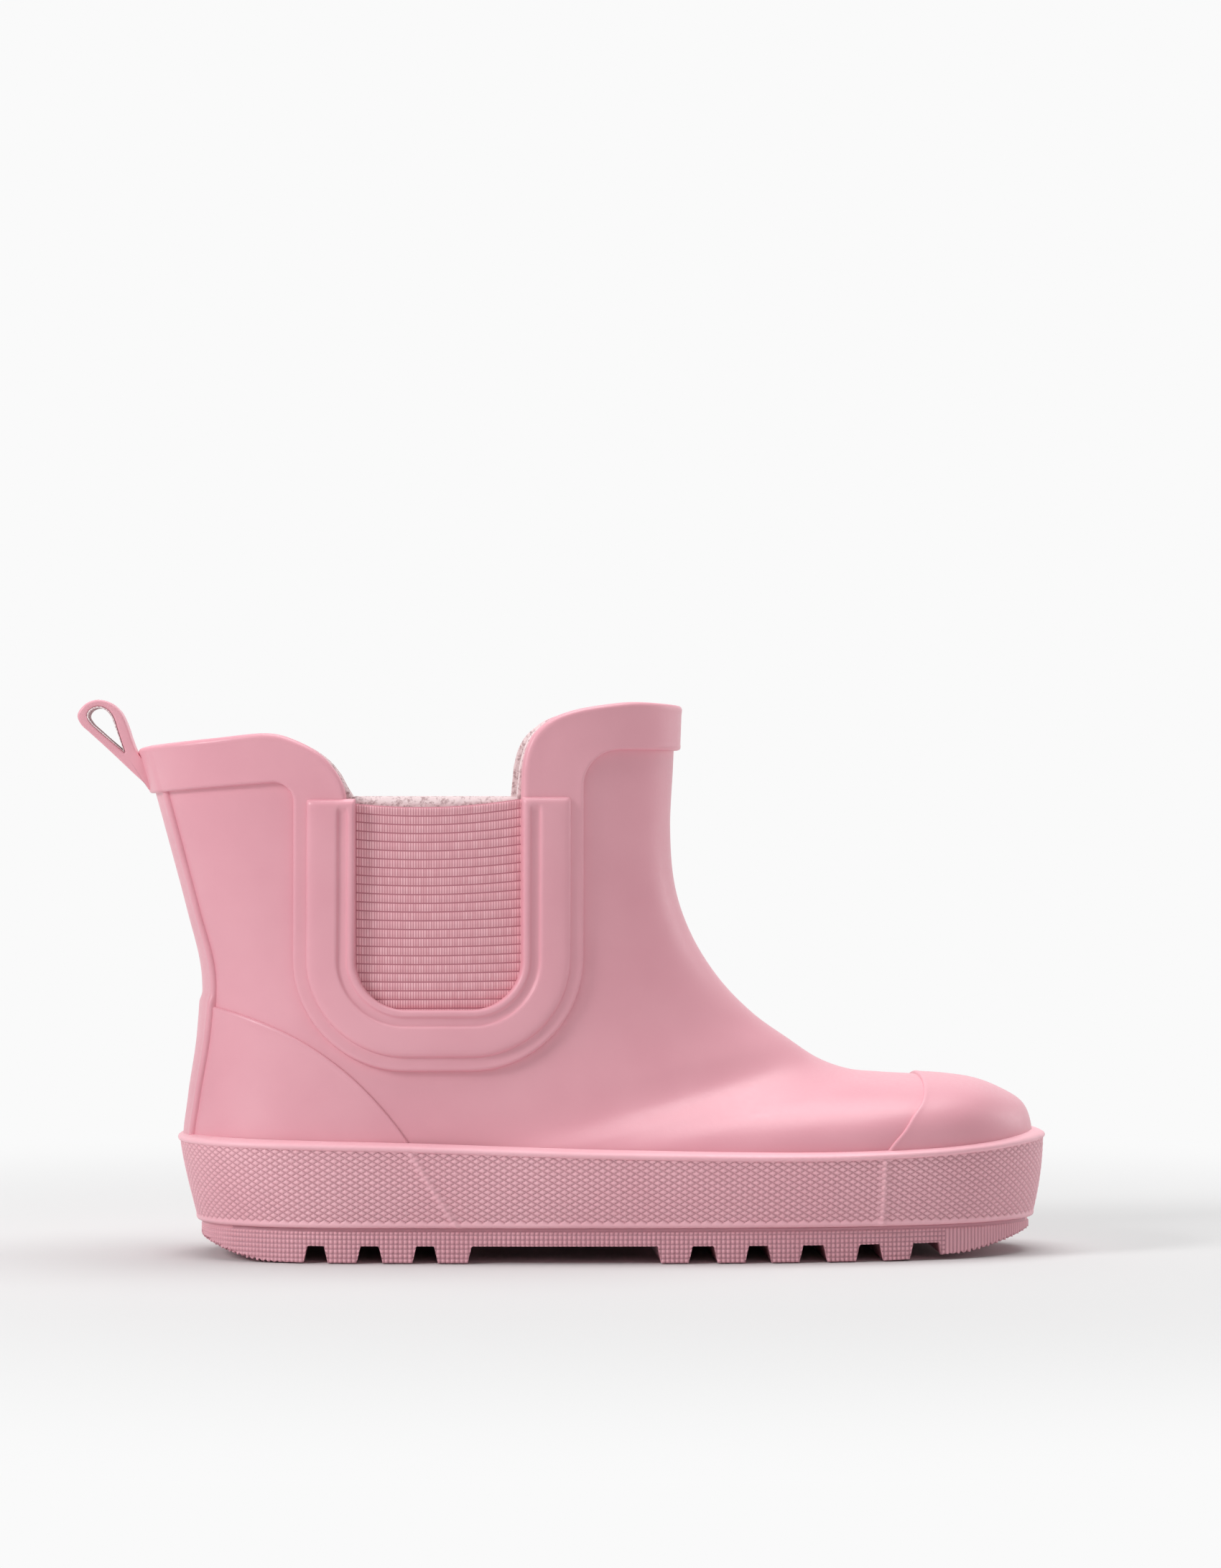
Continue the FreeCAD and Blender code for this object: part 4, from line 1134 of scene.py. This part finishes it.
# ------------------------------------------------------------------ inside
@dataclass
class Inside:
    """Knitted lining and the loose footbed."""

    face: float = -2.55
    wall: float = 0.85
    drop: float = 0.4
    lap: float = 0.7            # how far it shows past the notch's edges
    show: float = 1.5           # lining above the webbing
    lining_flat: tuple[float, float] = (0.225, 0.135)
    lining_area: float = 0.0219

    def build(self) -> None:
        """Makes both halves of the lining, and the footbed."""
        for inner in (False, True):
            self.lining(inner)
        self.footbed()

    def lining(self, inner: bool) -> None:
        """One half of the lining, from its top edge to the toe."""
        angle = np.linspace(0.0, math.pi, 190)
        angle = 2 * math.pi - angle if inner else angle
        low, high = np.zeros(angle.shape), np.full(angle.shape, 5.0)
        notch = SIDE.gore_top + self.show
        for _ in range(40):
            mid = (low + high) / 2
            p = LAST.point(mid, angle, self.face)
            line = np.maximum(SIDE.top_level(p[..., 0] - self.lap),
                              SIDE.top_level(p[..., 0] + self.lap))
            over = p[..., 2] > np.maximum(line - self.drop, notch)
            low, high = np.where(over, mid, low), np.where(over, high, mid)
        top = (low + high) / 2
        share = np.linspace(0.0, 1.0, 150)[:, None]
        t = top[None] + share * (LAST.end - 0.3 - top[None])
        side = "inner" if inner else "outer"
        piece = lay_grid(f"lining_jersey_{side}",
                         LAST.point(t, angle[None], self.face + self.wall))
        thicken(piece, self.wall)
        dress(piece, "boot", Finish.LINING, f"lining_{side}")
        area = sum(p.area for p in piece.data.polygons)
        LOG.info("%s: area %.5f", piece.name, area)

    def footbed(self) -> None:
        """Foam pad with a crowned edge, and its knitted cover."""
        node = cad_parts["footbed_foam"]
        low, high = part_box("footbed_foam")
        centre = (low + high) / 2
        flat = np.array([v.co[:2] for v in node.data.vertices if v.co.z > high.z - 1e-5])
        turn = np.arctan2(flat[:, 1] - centre.y, flat[:, 0] - centre.x)
        flat = flat[np.argsort(turn)]
        ring = np.vstack([flat, flat[:1]]) / MM
        ring = even(ring, 181)
        ring[-1] = ring[0]
        middle = np.array([*centre[:2]]) / MM
        z0, z1 = low.z / MM, high.z / MM
        foam = [(0.0, z0), (0.5, z0), (0.94, z0), (0.985, z0 + 0.4), (1.0, z0 + 1.3),
                (0.995, z1 - 0.5), (0.97, z1), (0.8, z1 - 0.15), (0.4, z1 - 0.3),
                (0.0, z1 - 0.3)]
        self.pad("footbed_foam_pad", ring, middle, foam, Finish.FOAM, "footbed_foam")
        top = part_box("footbed_cover")[1].z / MM
        cover = [(0.0, top - 0.9), (0.4, top - 0.9), (0.8, top - 0.75), (0.97, z1 + 0.1),
                 (0.998, z1 + 0.05), (1.0, z1 + 0.35), (0.985, top - 0.1), (0.9, top),
                 (0.6, top - 0.2), (0.0, top - 0.3)]
        piece = self.pad("footbed_cover_knit", ring, middle, cover, Finish.LINING,
                         "footbed_cover")

    @staticmethod
    def pad(name: str, ring: Array, middle: Array, rows: Sequence[tuple[float, float]],
            finish: Finish, node: str) -> bpy.types.Object:
        """Closed pad of an outline, from the middle of its underside to that of its top."""
        share, z = smooth_path(rows, 40).T
        share = np.clip(share, 0.0, 1.0)
        flat = middle + share[:, None, None] * (ring[None] - middle)
        level = np.broadcast_to(z[:, None, None], flat.shape[:2] + (1,))
        shift = np.array([*LAST.middle, 0.0])
        piece = lay_grid(name, np.concatenate([flat, level], axis=-1) + shift, closed=True)
        dress(piece, "footbed", finish, node)
        return piece


# ------------------------------------------------------------------ pull loop
@dataclass
class PullLoop:
    """One strip of rubber folded into a drop-shaped loop and sewn to the collar's back."""

    width: float = 12.0
    middle_y: float = 0.0       # across the boot, on the last
    centre: tuple[float, float] = (-103.3, 119.6)
    tape: float = 0.38
    bend: tuple[tuple[float, float], ...] = ((-94.2, 107.2), (-97.5, 111.0))
    crotch: tuple[float, float] = (-97.7, 112.1)
    head: tuple[tuple[float, float], ...] = (
        (-93.6, 110.6), (-94.9, 112.0), (-96.2, 115.2), (-97.2, 118.2), (-98.7, 121.2),
        (-101.0, 123.2), (-103.6, 123.85), (-106.4, 122.9), (-108.2, 120.4),
        (-107.4, 118.3), (-105.6, 116.6), (-102.4, 113.7), (-99.3, 110.8))
    eye: tuple[tuple[float, float], ...] = (
        (-97.7, 112.1), (-99.2, 116.7), (-100.4, 120.2), (-101.7, 121.7), (-103.6, 122.3),
        (-105.4, 121.6), (-106.1, 120.2), (-105.1, 118.4), (-103.6, 117.0),
        (-100.6, 114.5), (-97.7, 112.1))
    foot: tuple[tuple[float, float], ...] = (
        (-99.3, 110.8), (-96.1, 107.75), (-93.0, 104.8), (-92.2, 103.6), (-91.5, 103.4),
        (-91.2, 104.4), (-91.3, 106.0), (-92.0, 108.5), (-93.0, 110.2), (-93.6, 110.6))

    def build(self) -> None:
        """Makes the loop and the tape inside it."""
        head, eye = smooth_path(self.head, 101), smooth_path(self.eye, 101)
        foot = smooth_path(self.foot, 51)[1:]
        outer = np.vstack([head, foot])
        hole = np.vstack([eye, np.broadcast_to(self.crotch, foot.shape)])
        strip = self.band("pull_loop_strip", outer, hole, self.width, 0.6)
        strip.data.materials.append(finish_of(Finish.UPPER))
        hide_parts("pull_loop", "loop_anchor")
        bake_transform(strip)
        way = np.array(self.centre) - eye
        size = np.linalg.norm(way, axis=1, keepdims=True)
        inside = eye + way / size * self.tape * np.minimum(1.0, size / 3.0)
        tape = self.band("pull_loop_lining", eye - 0.02 * way / size, inside,
                         self.width + 0.1, 0.1)
        dress(tape, "loop", Finish.TAPE, "pull_loop_tape")

    def band(self, name: str, outer: Array, hole: Array, width: float, edge: float
             ) -> bpy.types.Object:
        """Band between two outlines, across the boot, with rounded edges.

        Args:
            name: Name of the piece.
            outer: Outer outline.
            hole: Inner outline, point by point.
            width: Width across the boot.
            edge: Radius of its edges.

        Returns:
            The piece.
        """
        half = width / 2
        reach = np.linalg.norm(outer - hole, axis=1, keepdims=True)
        edge_share = np.minimum(edge / np.maximum(reach, 1e-6), 0.5)
        turn = np.radians(np.linspace(0.0, 90.0, 6))
        section = [(edge * (1 - math.sin(a)), 1 - math.cos(a)) for a in turn]
        rows = []
        for sign, at_hole in ((-1, 0), (1, 0), (1, 1), (-1, 1)):
            order = section if sign * (1 - 2 * at_hole) > 0 else section[::-1]
            rows += [(sign * (half - inset), rise, at_hole) for inset, rise in order]
        rows.append(rows[0])
        grid = []
        for y, rise, at_hole in rows:
            run = edge_share * rise
            base = hole + (outer - hole) * (run if at_hole else 1 - run)
            grid.append(np.stack([base[:, 0], np.full(len(base), y), base[:, 1]], -1))
        return lay_grid(name, np.array(grid), closed=True)


# ------------------------------------------------------------------ studio
@dataclass
class Studio:
    """Pale sweep, soft lights and the camera."""

    distance: float = 1.2
    yaw: float = 2.5            # degrees, towards the heel
    aim: tuple[float, float] = (0.0108, 0.105)
    view_height: float = 0.3538
    sensor: float = 36.0
    paper_tone: str = "d2d2d2"
    paper_from: float = 0.14    # metres from the boot where the paper starts to glow
    paper_to: float = 0.40
    sky: float = 0.30

    def build(self) -> None:
        """Sets up the stage."""
        self.camera()
        self.sweep()
        self.lights()
        bpy.context.scene.view_settings.view_transform = "Standard"

    def camera(self) -> None:
        """Level camera on the outer side."""
        lens = bpy.data.cameras.new("camera")
        lens.sensor_width = self.sensor
        lens.lens = self.sensor * self.distance / self.view_height
        lens.clip_end = 20.0
        eye = bpy.data.objects.new("camera", lens)
        turn = math.radians(self.yaw)
        eye.location = (self.aim[0] - self.distance * math.sin(turn),
                        -self.distance * math.cos(turn), self.aim[1])
        eye.rotation_euler = (math.pi / 2, 0.0, -turn)
        bpy.context.scene.collection.objects.link(eye)
        bpy.context.scene.camera = eye

    def sweep(self) -> None:
        """Pale floor that curves up into the backdrop."""
        bm = bmesh.new()
        bmesh.ops.create_grid(bm, x_segments=1, y_segments=1, size=1.0)
        for v in bm.verts:
            v.co = (v.co.x * 4.0, v.co.y * 3.0, -0.0002)
        back = [e for e in bm.edges if all(v.co.y > 2.9 for v in e.verts)]
        for k in range(1, 17):
            angle = math.radians(90.0 * k / 16)
            made = bmesh.ops.extrude_edge_only(bm, edges=back)["geom"]
            for v in (g for g in made if isinstance(g, bmesh.types.BMVert)):
                v.co.y = 3.0 + 1.2 * math.sin(angle)
                v.co.z = 1.2 * (1 - math.cos(angle))
            back = [g for g in made if isinstance(g, bmesh.types.BMEdge)
                    and all(v.co.y > 3.0 + 1.2 * math.sin(angle) - 1e-4 for v in g.verts)
                    and abs(g.verts[0].co.x - g.verts[1].co.x) > 1.0]
        made = bmesh.ops.extrude_edge_only(bm, edges=back)["geom"]
        for v in (g for g in made if isinstance(g, bmesh.types.BMVert)):
            v.co.z += 3.0
        bmesh.ops.recalc_face_normals(bm, faces=bm.faces)
        floor = finish_mesh("studio_sweep", bm)
        floor.data.materials.append(self.paper())

    def paper(self) -> bpy.types.Material:
        """White paper: matt under the boot, glowing evenly further out."""
        material, tree, shader = new_material("matt_paper_sweep")
        shader.inputs["Base Color"].default_value = linear(self.paper_tone)
        shader.inputs["Roughness"].default_value = 1.0
        shader.inputs["Specular IOR Level"].default_value = 0.0
        glow = add_node(tree, "ShaderNodeEmission",
                        {"Color": linear("fafafa"), "Strength": 1.0})
        place = add_node(tree, "ShaderNodeTexCoord").outputs["Object"]
        away = add_node(tree, "ShaderNodeVectorMath", {"operation": "LENGTH"}, {0: place})
        share = add_node(tree, "ShaderNodeMapRange",
                         {"interpolation_type": "SMOOTHSTEP", "From Min": self.paper_from,
                          "From Max": self.paper_to}, {"Value": away.outputs["Value"]})
        both = add_node(tree, "ShaderNodeMixShader", None,
                        {0: share.outputs[0], 1: shader.outputs[0], 2: glow.outputs[0]})
        tree.links.new(both.outputs[0], tree.nodes["Material Output"].inputs["Surface"])
        return material

    def lights(self) -> None:
        """Broad soft light from the left and above, and a rim from the right."""
        world = bpy.data.worlds.new("studio")
        world.use_nodes = True
        world.node_tree.nodes["Background"].inputs["Color"].default_value = (1, 1, 1, 1)
        world.node_tree.nodes["Background"].inputs["Strength"].default_value = self.sky
        bpy.context.scene.world = world
        for name, place, size, power in (
                ("key", (-1.3, -0.75, 0.9), 0.5, 14.0),
                ("front", (0.25, -1.7, 0.35), 1.0, 1.5),
                ("top", (0.1, 0.1, 1.5), 1.2, 19.0),
                ("rim", (1.1, 0.5, 0.35), 0.5, 2.0)):
            lamp = bpy.data.lights.new(name, "AREA")
            lamp.shape = "SQUARE"
            lamp.size = size
            lamp.energy = power
            holder = bpy.data.objects.new(name, lamp)
            holder.location = place
            aim = Vector((0.0, 0.0, 0.06)) - Vector(place)
            holder.rotation_euler = aim.to_track_quat("-Z", "Y").to_euler()
            bpy.context.scene.collection.objects.link(holder)


def keep_cad_nodes() -> None:
    """Gives the CAD pieces that show as they are their finishes."""
    kept = {"outsole": Finish.OUTSOLE, "midsole_filler": Finish.SPONGE, "insole_board": Finish.BOARD,
            "lining_sole": Finish.LINING, "heel_stiffener": Finish.STIFFENER}
    for name, finish in kept.items():
        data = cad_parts[name].data
        data.materials.clear()
        data.materials.append(finish_of(finish))


def write_sizes() -> None:
    """Updates the view layer."""
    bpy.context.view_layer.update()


def main() -> None:
    """Builds the boot and its stage."""
    logging.basicConfig(level=logging.INFO, format="%(message)s")
    Studio().build()
    for assembly in (Upper(), Gore(), Sole(), Inside(), PullLoop()):
        assembly.build()
    keep_cad_nodes()
    write_sizes()


if __name__ == "__main__":
    main()
